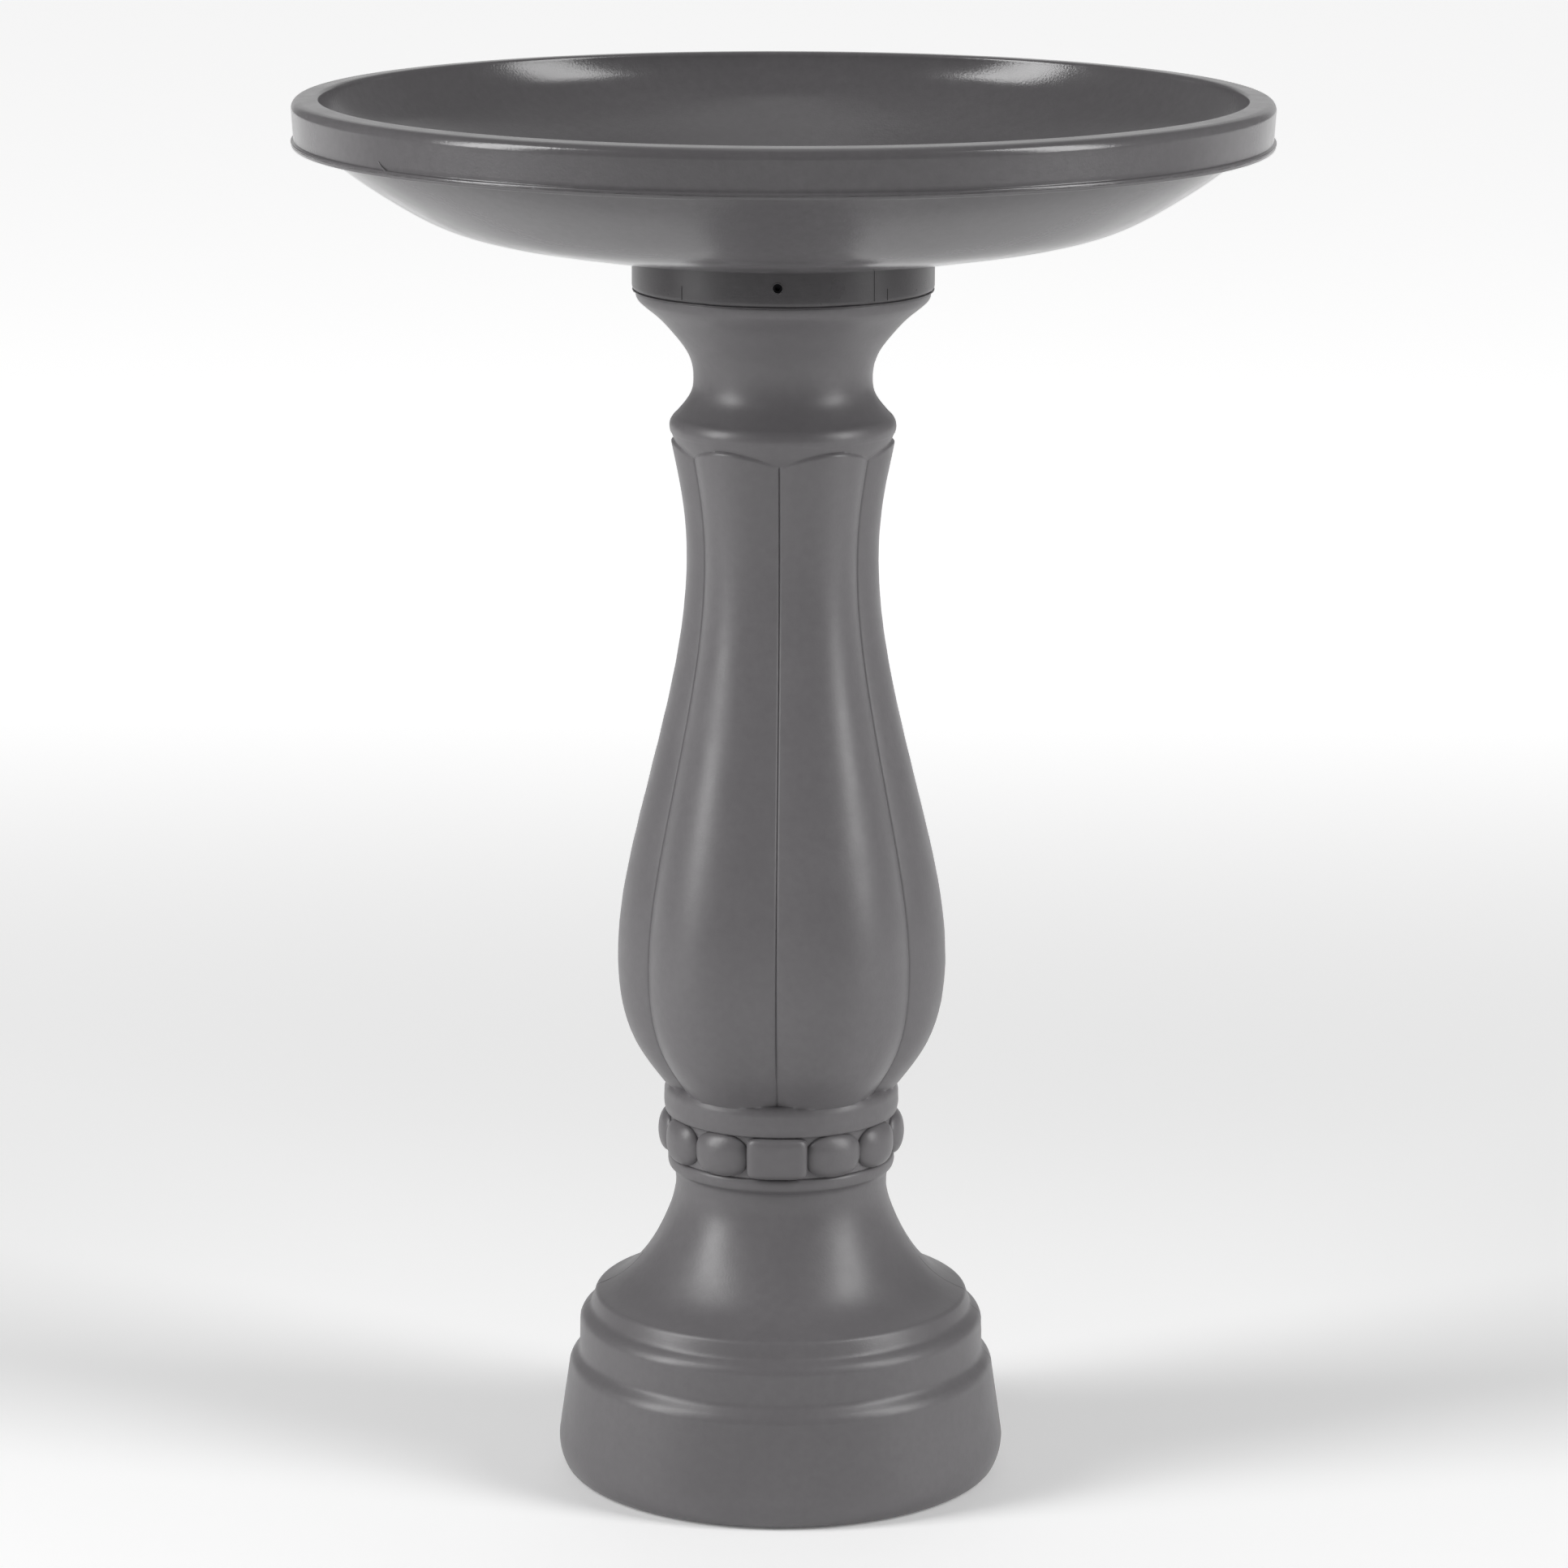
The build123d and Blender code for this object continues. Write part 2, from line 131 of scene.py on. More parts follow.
@dataclass(frozen=True)
class MouldedPolyethylene:
    """Blow-moulded polyethylene, straight from a sand-blasted mould.

    Waxy and semi-gloss: broad soft highlights broken by a fine pebble grain, with a slow
    waviness where the wall cooled unevenly.
    """

    name: str
    colour: str
    pale: str
    roughness: float = 0.36
    grain_mm: float = 1.1
    grain_depth: float = 0.05
    wave_mm: float = 38.0
    wave_depth: float = 0.12
    scuff: float = 0.0
    ior: float = 1.51

    def build(self) -> bpy.types.Material:
        """Makes the material.

        Returns:
            The finished material.
        """
        material = bpy.data.materials.new(self.name)
        material.use_nodes = True
        tree = material.node_tree
        tree.nodes.clear()
        place = add_node(tree, "ShaderNodeTexCoord").outputs["Object"]
        # pigment: slow mottling of the masterbatch, 60 mm across
        mottle = add_node(
            tree,
            "ShaderNodeTexNoise",
            {"Vector": place, "Scale": 1 / (60 * MM), "Detail": 3.0, "Roughness": 0.5},
        )
        flecks = add_node(
            tree,
            "ShaderNodeTexNoise",
            {"Vector": place, "Scale": 1 / (4 * MM), "Detail": 2.0, "Roughness": 0.6},
        )
        share = add_node(tree, "ShaderNodeMath", {0: mottle, 1: flecks}, operation="MULTIPLY")
        range_ = add_node(
            tree,
            "ShaderNodeMapRange",
            {"Value": share, "From Min": 0.12, "From Max": 0.42, "To Min": 0.0, "To Max": 1.0},
        )
        tint = add_node(
            tree,
            "ShaderNodeMix",
            {"Factor": range_, "A": linear(self.colour), "B": linear(self.pale)},
            data_type="RGBA",
        )
        tree.links.new(range_.outputs[0], tint.inputs[0])
        tint.inputs[6].default_value = linear(self.colour)
        tint.inputs[7].default_value = linear(self.pale)
        # sheen varies where the mould was polished by use
        polish = add_node(
            tree,
            "ShaderNodeTexNoise",
            {"Vector": place, "Scale": 1 / (26 * MM), "Detail": 4.0, "Roughness": 0.6},
        )
        gloss = add_node(
            tree,
            "ShaderNodeMapRange",
            {
                "Value": polish, "From Min": 0.3, "From Max": 0.7, "To Min": self.roughness - 0.04,
                "To Max": self.roughness + 0.05,
            },
        )
        grain = add_node(
            tree,
            "ShaderNodeTexNoise",
            {"Vector": place, "Scale": 1 / (self.grain_mm * MM), "Detail": 2.0, "Roughness": 0.55},
        )
        waves = add_node(
            tree, "ShaderNodeTexNoise", {"Vector": place, "Scale": 1 / (self.wave_mm * MM), "Detail": 1.0}
        )
        slow = add_node(
            tree, "ShaderNodeBump", {"Strength": 1.0, "Distance": self.wave_depth * MM, "Height": waves}
        )
        fine = add_node(
            tree,
            "ShaderNodeBump",
            {"Strength": 1.0, "Distance": self.grain_depth * MM, "Height": grain, "Normal": slow},
        )
        normal = fine
        if self.scuff:
            # handling scuffs: long shallow scratches round the piece
            stretched = add_node(
                tree, "ShaderNodeMapping", {"Vector": place, "Scale": (1.0, 1.0, 26.0)}, vector_type="POINT"
            )
            scratch = add_node(
                tree, "ShaderNodeTexNoise", {"Vector": stretched, "Scale": 1 / (22 * MM), "Detail": 5.0}
            )
            normal = add_node(
                tree,
                "ShaderNodeBump",
                {"Strength": 1.0, "Distance": self.scuff * MM, "Height": scratch, "Normal": fine},
            )
        shader = add_node(
            tree,
            "ShaderNodeBsdfPrincipled",
            {"Roughness": gloss, "Normal": normal, "IOR": self.ior, "Base Color": tint.outputs[2]},
        )
        add_node(tree, "ShaderNodeOutputMaterial", {"Surface": shader})
        return material


@dataclass(frozen=True)
class BlackOxideSteel:
    """Blackened screw steel: dark, a little oily, with turned rings just visible."""

    name: str = "black_oxide_steel"
    colour: str = "1b1b1d"
    roughness: float = 0.42

    def build(self) -> bpy.types.Material:
        """Makes the material.

        Returns:
            The finished material.
        """
        material = bpy.data.materials.new(self.name)
        material.use_nodes = True
        tree = material.node_tree
        tree.nodes.clear()
        place = add_node(tree, "ShaderNodeTexCoord").outputs["Object"]
        blotch = add_node(
            tree, "ShaderNodeTexNoise", {"Vector": place, "Scale": 1 / (0.9 * MM), "Detail": 3.0}
        )
        gloss = add_node(
            tree,
            "ShaderNodeMapRange",
            {"Value": blotch, "To Min": self.roughness - 0.1, "To Max": self.roughness + 0.12},
        )
        bump = add_node(tree, "ShaderNodeBump", {"Strength": 0.6, "Distance": 0.02 * MM, "Height": blotch})
        shader = add_node(
            tree,
            "ShaderNodeBsdfPrincipled",
            {"Base Color": linear(self.colour), "Metallic": 1.0, "Roughness": gloss, "Normal": bump},
        )
        add_node(tree, "ShaderNodeOutputMaterial", {"Surface": shader})
        return material


@dataclass(frozen=True)
class SealRubber:
    """Black nitrile rubber, matte with a dusty bloom."""

    name: str = "black_nitrile_rubber"
    colour: str = "202020"
    bloom: str = "34332f"
    roughness: float = 0.78

    def build(self) -> bpy.types.Material:
        """Makes the material.

        Returns:
            The finished material.
        """
        material = bpy.data.materials.new(self.name)
        material.use_nodes = True
        tree = material.node_tree
        tree.nodes.clear()
        place = add_node(tree, "ShaderNodeTexCoord").outputs["Object"]
        dust = add_node(tree, "ShaderNodeTexNoise", {"Vector": place, "Scale": 1 / (3 * MM), "Detail": 4.0})
        tint = add_node(tree, "ShaderNodeMix", data_type="RGBA")
        tree.links.new(dust.outputs[0], tint.inputs[0])
        tint.inputs[6].default_value = linear(self.colour)
        tint.inputs[7].default_value = linear(self.bloom)
        bump = add_node(tree, "ShaderNodeBump", {"Strength": 0.5, "Distance": 0.05 * MM, "Height": dust})
        shader = add_node(
            tree,
            "ShaderNodeBsdfPrincipled",
            {"Base Color": tint.outputs[2], "Roughness": self.roughness, "Normal": bump},
        )
        add_node(tree, "ShaderNodeOutputMaterial", {"Surface": shader})
        return material


# ---------------------------------------------------------------- outlines


def cubic(points: list[Point], parts: int, start: Point | None, end: Point | None) -> np.ndarray:
    """Samples the smooth cubic curve through points.

    Args:
        points: Points that the curve passes through.
        parts: How many steps to cut it into.
        start: Direction at the first point, or None to leave it free.
        end: Direction at the last point, or None to leave it free.

    Returns:
        parts + 1 points, the first and last included.
    """
    p = np.array(points, float)
    step = np.linalg.norm(np.diff(p, axis=0), axis=1)
    at = np.concatenate([[0.0], np.cumsum(step)])
    count = len(p)
    rows = np.zeros((count, count))
    right = np.zeros((count, 2))
    slope = np.diff(p, axis=0) / step[:, None]
    for i in range(1, count - 1):
        rows[i, i - 1 : i + 2] = step[i - 1], 2 * (step[i - 1] + step[i]), step[i]
        right[i] = 6 * (slope[i] - slope[i - 1])
    rows[0, 0] = rows[-1, -1] = 1.0
    if start is not None:
        rows[0, :2] = 2 * step[0], step[0]
        right[0] = 6 * (slope[0] - np.array(start) / np.linalg.norm(start))
    if end is not None:
        rows[-1, -2:] = step[-1], 2 * step[-1]
        right[-1] = 6 * (np.array(end) / np.linalg.norm(end) - slope[-1])
    bend = np.linalg.solve(rows, right)
    where = np.linspace(0.0, at[-1], parts + 1)
    i = np.clip(np.searchsorted(at, where, side="right") - 1, 0, count - 2)
    h = step[i][:, None]
    u = (where - at[i])[:, None]
    v = h - u
    return (
        bend[i] * v**3 / (6 * h)
        + bend[i + 1] * u**3 / (6 * h)
        + (p[i] / h - bend[i] * h / 6) * v
        + (p[i + 1] / h - bend[i + 1] * h / 6) * u
    )


@dataclass
class Outline:
    """A closed half-section, drawn from pole to pole in (radius, height), in millimetres.

    Each row also carries a core radius, which shows where a lobe doesn't stand over it, and
    whether it is lobed.
    """

    points: list[Point]
    core: list[float] = field(default_factory=list)
    lobed: list[float] = field(default_factory=list)

    def __post_init__(self) -> None:
        """Fills in the rows that the outline starts with."""
        self.core = [r for r, _ in self.points]
        self.lobed = [0.0] * len(self.points)

    def add(self, point: Point, core: float | None = None) -> None:
        """Adds one row.

        Args:
            point: Radius and height.
            core: Radius of the core under a lobe, or None where nothing is lobed.
        """
        self.points.append((float(point[0]), float(point[1])))
        self.core.append(float(point[0]) if core is None else core)
        self.lobed.append(0.0 if core is None else 1.0)

    def to(self, *points: Point, parts: int = 1) -> "Outline":
        """Draws straight lines through points, each cut into parts."""
        for end in points:
            start = self.points[-1]
            for k in range(1, parts + 1):
                share = k / parts
                self.add((start[0] + share * (end[0] - start[0]), start[1] + share * (end[1] - start[1])))
        return self

    def arc(self, through: Point, end: Point, parts: int = 6) -> "Outline":
        """Draws the arc from the last point through one point to another.

        Args:
            through: A point on the arc.
            end: The arc's end.
            parts: How many steps to cut it into.

        Returns:
            The outline, to draw on from.
        """
        a, b, c = (complex(*p) for p in (self.points[-1], through, end))
        w = (c - a) / (b - a)
        centre = (b - a) * (w - abs(w) ** 2) / (2j * w.imag) + a
        ray = a - centre
        turn = np.angle((c - centre) / ray)
        middle = np.angle((b - centre) / ray)
        if not (min(0, turn) < middle < max(0, turn)):
            turn -= math.copysign(2 * math.pi, turn)
        for k in range(1, parts + 1):
            p = centre + ray * np.exp(1j * turn * k / parts)
            self.add((p.real, p.imag))
        return self

    def curve(
        self, *points: Point, parts: int, start: Point | None = None, end: Point | None = None
    ) -> "Outline":
        """Draws a smooth curve on through points.

        Args:
            points: The points that it passes through.
            parts: How many steps to cut it into.
            start: Direction at its start, or None.
            end: Direction at its end, or None.

        Returns:
            The outline, to draw on from.
        """
        for p in cubic([self.points[-1], *points], parts, start, end)[1:]:
            self.add((p[0], p[1]))
        return self

    def mesh(self, name: str) -> bpy.types.Object:
        """Makes the outline an object: one vertex a row, with its core and lobed values.

        Args:
            name: The object's name.

        Returns:
            The new object, linked to the scene.
        """
        data = bpy.data.meshes.new(name)
        edges = [(i, i + 1) for i in range(len(self.points) - 1)]
        data.from_pydata([(r * MM, 0.0, z * MM) for r, z in self.points], edges, [])
        for title, values in (("core", [r * MM for r in self.core]), ("lobed", self.lobed)):
            layer = data.attributes.new(title, "FLOAT", "POINT")
            layer.data.foreach_set("value", values)
        thing = bpy.data.objects.new(name, data)
        bpy.context.scene.collection.objects.link(thing)
        return thing


# ---------------------------------------------------------------- geometry trees


def new_tree(name: str, floats: dict[str, float], integers: dict[str, int]) -> bpy.types.NodeTree:
    """Makes an empty geometry tree with named inputs.

    Args:
        name: The tree's name.
        floats: Its number inputs and what they are at first.
        integers: Its whole-number inputs and what they are at first.

    Returns:
        The tree, with a Geometry input and output and a Finish input.
    """
    tree = bpy.data.node_groups.new(name, "GeometryNodeTree")
    face = tree.interface
    face.new_socket("Geometry", in_out="INPUT", socket_type="NodeSocketGeometry")
    face.new_socket("Geometry", in_out="OUTPUT", socket_type="NodeSocketGeometry")
    for title, value in floats.items():
        face.new_socket(title, in_out="INPUT", socket_type="NodeSocketFloat").default_value = value
    for title, value in integers.items():
        face.new_socket(title, in_out="INPUT", socket_type="NodeSocketInt").default_value = value
    face.new_socket("Finish", in_out="INPUT", socket_type="NodeSocketMaterial")
    return tree


def grow(
    source: bpy.types.Object, tree: bpy.types.NodeTree, finish: bpy.types.Material, values: dict[str, float]
) -> bpy.types.Object:
    """Runs a tree on an object and keeps the result as a plain mesh.

    Args:
        source: The object that the tree starts from.
        tree: The geometry tree.
        finish: The material that the tree sets.
        values: Input name to value.

    Returns:
        The same object, with the grown mesh and no modifier.
    """
    modifier = source.modifiers.new("grow", "NODES")
    modifier.node_group = tree
    sockets = {item.name: item.identifier for item in tree.interface.items_tree if item.in_out == "INPUT"}
    for title, value in {**values, "Finish": finish}.items():
        modifier[sockets[title]] = value
    graph = bpy.context.evaluated_depsgraph_get()
    graph.update()
    mesh = bpy.data.meshes.new_from_object(source.evaluated_get(graph))
    source.modifiers.remove(modifier)
    old = source.data
    source.data = mesh
    if isinstance(old, bpy.types.Mesh):
        bpy.data.meshes.remove(old)
    return source


def turned_tree() -> bpy.types.NodeTree:
    """Geometry tree that turns an outline into a closed shell, with lobes where it asks for them.

    Between two grooves a lobe is one bow, a circle's arc about a centre off the axis. Its top
    and bottom edges roll over into the core, and reach less far at the grooves.

    Returns:
        The tree.
    """
    tree = new_tree(
        "turned_moulding",
        {
            "Bow Radius": 0.6, "Bow Centre": 0.4, "Top": 1.0, "Top Dip": 0.0, "Bottom": 0.0,
            "Bottom Rise": 0.0, "Roll": 2 * MM, "Crowding": 0.0, "Groove Depth": 0.0, "Groove Width": MM,
            "Waver": 0.0, "Waver Size": 50 * MM,
        },
        {"Columns": 360, "Lobes": 6},
    )
    entry = add_node(tree, "NodeGroupInput").outputs

    def maths(operation: str, *values) -> bpy.types.NodeSocket:
        """Adds one Math node and returns its result."""
        return add_node(tree, "ShaderNodeMath", dict(enumerate(values)), operation=operation).outputs[0]

    rows = add_node(tree, "GeometryNodeAttributeDomainSize", {"Geometry": entry["Geometry"]}).outputs[
        "Point Count"
    ]
    columns = maths("ADD", entry["Columns"], 1.0)
    sheet = add_node(
        tree,
        "GeometryNodeMeshGrid",
        {"Size X": 1.0, "Size Y": 1.0, "Vertices X": rows, "Vertices Y": columns},
    ).outputs["Mesh"]
    at = add_node(tree, "ShaderNodeSeparateXYZ", {0: add_node(tree, "GeometryNodeInputPosition")}).outputs
    row = maths("ROUND", maths("MULTIPLY", maths("ADD", at["X"], 0.5), maths("SUBTRACT", rows, 1.0)))

    def sample(kind: str, value: bpy.types.NodeSocket) -> bpy.types.NodeSocket:
        """Reads a value of the outline at this vertex's row."""
        return add_node(
            tree,
            "GeometryNodeSampleIndex",
            {"Geometry": entry["Geometry"], "Value": value, "Index": row},
            data_type=kind,
            domain="POINT",
        ).outputs[0]

    drawn = sample("FLOAT_VECTOR", add_node(tree, "GeometryNodeInputPosition").outputs[0])
    drawn = add_node(tree, "ShaderNodeSeparateXYZ", {0: drawn}).outputs
    crown, height = drawn["X"], drawn["Z"]
    core_name = add_node(tree, "GeometryNodeInputNamedAttribute", {"Name": "core"}, data_type="FLOAT")
    lobed_name = add_node(tree, "GeometryNodeInputNamedAttribute", {"Name": "lobed"}, data_type="FLOAT")
    core = sample("FLOAT", core_name.outputs[0])
    lobed = sample("FLOAT", lobed_name.outputs[0])

    # columns stand closer together near the grooves
    even = maths("MULTIPLY", maths("ADD", at["Y"], 0.5), entry["Lobes"])
    wave = maths("SINE", maths("MULTIPLY", even, 2 * math.pi))
    crowded = maths(
        "SUBTRACT", even, maths("MULTIPLY", wave, maths("DIVIDE", entry["Crowding"], 2 * math.pi))
    )
    pitch = maths("DIVIDE", 2 * math.pi, entry["Lobes"])
    angle = maths("MULTIPLY", crowded, pitch)
    off = maths("SUBTRACT", maths("FRACT", maths("ADD", crowded, 0.5 - 1e-6)), 0.5)  # from the nearest groove
    reach = maths("MULTIPLY", maths("ABSOLUTE", off), 2.0)  # 0 in a groove, 1 on a crown
    inner = maths("SUBTRACT", 1.0, reach)
    turn = maths("MULTIPLY", inner, maths("MULTIPLY", pitch, 0.5))  # angle from the crown

    # a lobe's bow: centre * cos + sqrt(radius^2 - (centre * sin)^2)
    across = maths("MULTIPLY", entry["Bow Centre"], maths("SINE", turn))
    along = maths("MULTIPLY", entry["Bow Centre"], maths("COSINE", turn))
    square = maths("SUBTRACT", maths("POWER", entry["Bow Radius"], 2.0), maths("POWER", across, 2.0))
    lobe = maths("MULTIPLY", crown, maths("ADD", along, maths("SQRT", square)))
    aside = maths("MULTIPLY", maths("MULTIPLY", maths("ABSOLUTE", off), pitch), crown)
    notch = maths("SUBTRACT", 1.0, maths("DIVIDE", aside, entry["Groove Width"]))
    notch = maths("MULTIPLY", maths("MAXIMUM", notch, 0.0), entry["Groove Depth"])
    lobe = maths("SUBTRACT", lobe, notch)

    # the ends of a lobe roll over: depth below a quarter circle at the edge
    dip = maths("MULTIPLY", entry["Top Dip"], maths("POWER", inner, 1.8))
    rise = maths("MULTIPLY", entry["Bottom Rise"], maths("POWER", inner, 3.0))
    to_top = maths("SUBTRACT", maths("SUBTRACT", entry["Top"], dip), height)
    to_bottom = maths("SUBTRACT", height, maths("ADD", entry["Bottom"], rise))
    spare = maths("MINIMUM", to_top, to_bottom)
    short = maths("MINIMUM", maths("MAXIMUM", maths("SUBTRACT", entry["Roll"], spare), 0.0), entry["Roll"])
    quarter = maths(
        "SQRT", maths("SUBTRACT", maths("POWER", entry["Roll"], 2.0), maths("POWER", short, 2.0))
    )
    over = maths("MULTIPLY", maths("MAXIMUM", maths("MULTIPLY", spare, -1.0), 0.0), 4.0)
    lobe = maths("SUBTRACT", lobe, maths("ADD", maths("SUBTRACT", entry["Roll"], quarter), over))
    carved = maths("MAXIMUM", lobe, core)
    radius = add_node(tree, "ShaderNodeMix", {0: lobed, 2: crown, 3: carved}, data_type="FLOAT").outputs[0]

    # the wall's slow unevenness, which fades out at the poles
    flat = add_node(
        tree, "ShaderNodeCombineXYZ", {0: maths("SINE", angle), 1: maths("COSINE", angle)}
    ).outputs[0]
    round_ = add_node(tree, "ShaderNodeVectorMath", {0: flat, "Scale": 0.12}, operation="SCALE").outputs[0]
    spot = add_node(
        tree,
        "ShaderNodeVectorMath",
        {0: round_, 1: add_node(tree, "ShaderNodeCombineXYZ", {2: height}).outputs[0]},
        operation="ADD",
    ).outputs[0]
    noise = add_node(
        tree,
        "ShaderNodeTexNoise",
        {"Vector": spot, "Scale": maths("DIVIDE", 1.0, entry["Waver Size"]), "Detail": 1.0},
    ).outputs[0]
    drift = maths("MULTIPLY", maths("SUBTRACT", noise, 1.0), entry["Waver"])
    drift = maths("MULTIPLY", drift, maths("MINIMUM", maths("MULTIPLY", radius, 100.0), 1.0))
    radius = maths("ADD", radius, drift)
    place = add_node(
        tree,
        "ShaderNodeCombineXYZ",
        {
            "X": maths("MULTIPLY", radius, maths("SINE", angle)),
            "Y": maths("MULTIPLY", maths("MULTIPLY", radius, -1.0), maths("COSINE", angle)),
            "Z": height,
        },
    ).outputs[0]
    shell = add_node(tree, "GeometryNodeSetPosition", {"Geometry": sheet, "Position": place}).outputs[0]
    shell = add_node(
        tree, "GeometryNodeMergeByDistance", {"Geometry": shell, "Distance": MERGE_DISTANCE}
    ).outputs[0]
    shell = add_node(tree, "GeometryNodeSetShadeSmooth", {"Geometry": shell}).outputs[0]
    shell = add_node(tree, "GeometryNodeRealizeInstances", {"Geometry": shell}).outputs[0]
    shell = add_node(
        tree, "GeometryNodeSetMaterial", {"Geometry": shell, "Material": entry["Finish"]}
    ).outputs[0]
    add_node(tree, "NodeGroupOutput", {0: shell})
    return tree


def ring_tree() -> bpy.types.NodeTree:
    """Geometry tree that sets copies of a bead evenly round the axis, missing out some places.

    Returns:
        The tree.
    """
    tree = new_tree("bead_ring", {"Radius": 50 * MM, "Height": 0.0}, {"Places": 12, "Every": 1, "Skip": 0})
    entry = add_node(tree, "NodeGroupInput").outputs
    index = add_node(tree, "GeometryNodeInputIndex").outputs[0]
    line = add_node(
        tree, "GeometryNodeMeshLine", {"Count": entry["Places"], "Offset": (0.0, 0.0, 0.0)}
    ).outputs[0]

    def maths(operation: str, *values) -> bpy.types.NodeSocket:
        """Adds one Math node and returns its result."""
        return add_node(tree, "ShaderNodeMath", dict(enumerate(values)), operation=operation).outputs[0]

    turn = maths("MULTIPLY", maths("DIVIDE", index, entry["Places"]), 2 * math.pi)
    place = add_node(
        tree,
        "ShaderNodeCombineXYZ",
        {
            "X": maths("MULTIPLY", entry["Radius"], maths("SINE", turn)),
            "Y": maths("MULTIPLY", maths("MULTIPLY", entry["Radius"], -1.0), maths("COSINE", turn)),
            "Z": entry["Height"],
        },
    ).outputs[0]
    spots = add_node(tree, "GeometryNodeSetPosition", {"Geometry": line, "Position": place}).outputs[0]
    phase = maths("MODULO", index, entry["Every"])
    wanted = maths("COMPARE", maths("MINIMUM", phase, 1.0), entry["Skip"], 0.1)
    spin = add_node(tree, "ShaderNodeCombineXYZ", {"Z": turn}).outputs[0]
    made = add_node(
        tree,
        "GeometryNodeInstanceOnPoints",
        {"Points": spots, "Instance": entry["Geometry"], "Selection": wanted, "Rotation": spin},
    ).outputs[0]
    made = add_node(tree, "GeometryNodeRealizeInstances", {"Geometry": made}).outputs[0]
    made = add_node(
        tree, "GeometryNodeSetMaterial", {"Geometry": made, "Material": entry["Finish"]}
    ).outputs[0]
    add_node(tree, "NodeGroupOutput", {0: made})
    return tree


def fin_tree() -> bpy.types.NodeTree:
    """Geometry tree that runs a thin uneven ridge of flash along a path.

    Returns:
        The tree.
    """
    tree = new_tree(
        "flash_fin", {"Width": MM, "Depth": MM, "Unevenness": 0.5, "Grain": 6 * MM}, {"Closed": 0}
    )
    entry = add_node(tree, "NodeGroupInput").outputs
    path = add_node(tree, "GeometryNodeMeshToCurve", {"Mesh": entry["Geometry"]}).outputs[0]
    spot = add_node(tree, "GeometryNodeInputPosition").outputs[0]
    scale = add_node(tree, "ShaderNodeMath", {0: 1.0, 1: entry["Grain"]}, operation="DIVIDE").outputs[0]
    noise = add_node(tree, "ShaderNodeTexNoise", {"Vector": spot, "Scale": scale, "Detail": 3.0}).outputs[0]
    size = add_node(
        tree,
        "ShaderNodeMapRange",
        {"Value": noise, "From Min": 0.3, "From Max": 0.7, "To Min": entry["Unevenness"], "To Max": 1.0},
    ).outputs[0]
    path = add_node(tree, "GeometryNodeSetCurveRadius", {"Curve": path, "Radius": size}).outputs[0]
    ring = add_node(
        tree, "GeometryNodeCurvePrimitiveCircle", {"Resolution": 8, "Radius": 1.0}, mode="RADIUS"
    )
    shape = add_node(tree, "ShaderNodeCombineXYZ", {0: entry["Width"], 1: entry["Depth"], 2: 1.0}).outputs[
        0
    ]
    section = add_node(tree, "GeometryNodeTransform", {"Geometry": ring, "Scale": shape}).outputs[0]
    fin = add_node(
        tree, "GeometryNodeCurveToMesh", {"Curve": path, "Profile Curve": section, "Fill Caps": True}
    )
    if "Scale" in fin.inputs:
        tree.links.new(size, fin.inputs["Scale"])
    made = add_node(tree, "GeometryNodeSetShadeSmooth", {"Geometry": fin}).outputs[0]
    made = add_node(tree, "GeometryNodeRealizeInstances", {"Geometry": made}).outputs[0]
    made = add_node(
        tree, "GeometryNodeSetMaterial", {"Geometry": made, "Material": entry["Finish"]}
    ).outputs[0]
    add_node(tree, "NodeGroupOutput", {0: made})
    return tree


# ---------------------------------------------------------------- mesh helpers


def set_creases(thing: bpy.types.Object) -> None:
    """Shades a piece smooth, with sharp edges where its faces turn by more than SHARP_ANGLE."""
    thing.data.polygons.foreach_set("use_smooth", [True] * len(thing.data.polygons))
    thing.data.set_sharp_from_angle(angle=SHARP_ANGLE)


def face_outwards(thing: bpy.types.Object) -> None:
    """Turns a closed piece's faces outwards."""
    work = bmesh.new()
    work.from_mesh(thing.data)
    bmesh.ops.remove_doubles(work, verts=work.verts, dist=MERGE_DISTANCE)
    bmesh.ops.recalc_face_normals(work, faces=work.faces)
    if work.calc_volume(signed=True) < 0:
        bmesh.ops.reverse_faces(work, faces=work.faces)
    work.to_mesh(thing.data)
    work.free()


def cut(thing: bpy.types.Object, tool: bpy.types.Object) -> None:
    """Cuts a tool's solid out of a piece and removes the tool.

    Args:
        thing: The piece to cut.
        tool: The closed solid to cut with.
    """
    modifier = thing.modifiers.new("cut", "BOOLEAN")
    modifier.operation = "DIFFERENCE"
    modifier.solver = "EXACT"
    modifier.object = tool
    graph = bpy.context.evaluated_depsgraph_get()
    graph.update()
    mesh = bpy.data.meshes.new_from_object(thing.evaluated_get(graph))
    thing.modifiers.remove(modifier)
    old = thing.data
    thing.data = mesh
    bpy.data.meshes.remove(old)
    old = tool.data
    bpy.data.objects.remove(tool)
    bpy.data.meshes.remove(old)


def solid(name: str, work: bmesh.types.BMesh) -> bpy.types.Object:
    """Makes an object of a bmesh and frees it."""
    data = bpy.data.meshes.new(name)
    work.to_mesh(data)
    work.free()
    thing = bpy.data.objects.new(name, data)
    bpy.context.scene.collection.objects.link(thing)
    return thing


def settle(thing: bpy.types.Object, body: str, nodes: tuple[str, ...] = ()) -> None:
    """Hands a finished piece to the frame.

    Args:
        thing: The piece.
        body: The CAD body that it rides on.
        nodes: The CAD nodes that it stands for.
    """
    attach(thing, body)
    if nodes:
        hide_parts(*nodes)
    LOG.info("%s rides on %s with %d faces", thing.name, body, len(thing.data.polygons))


# ---------------------------------------------------------------- sub-assemblies


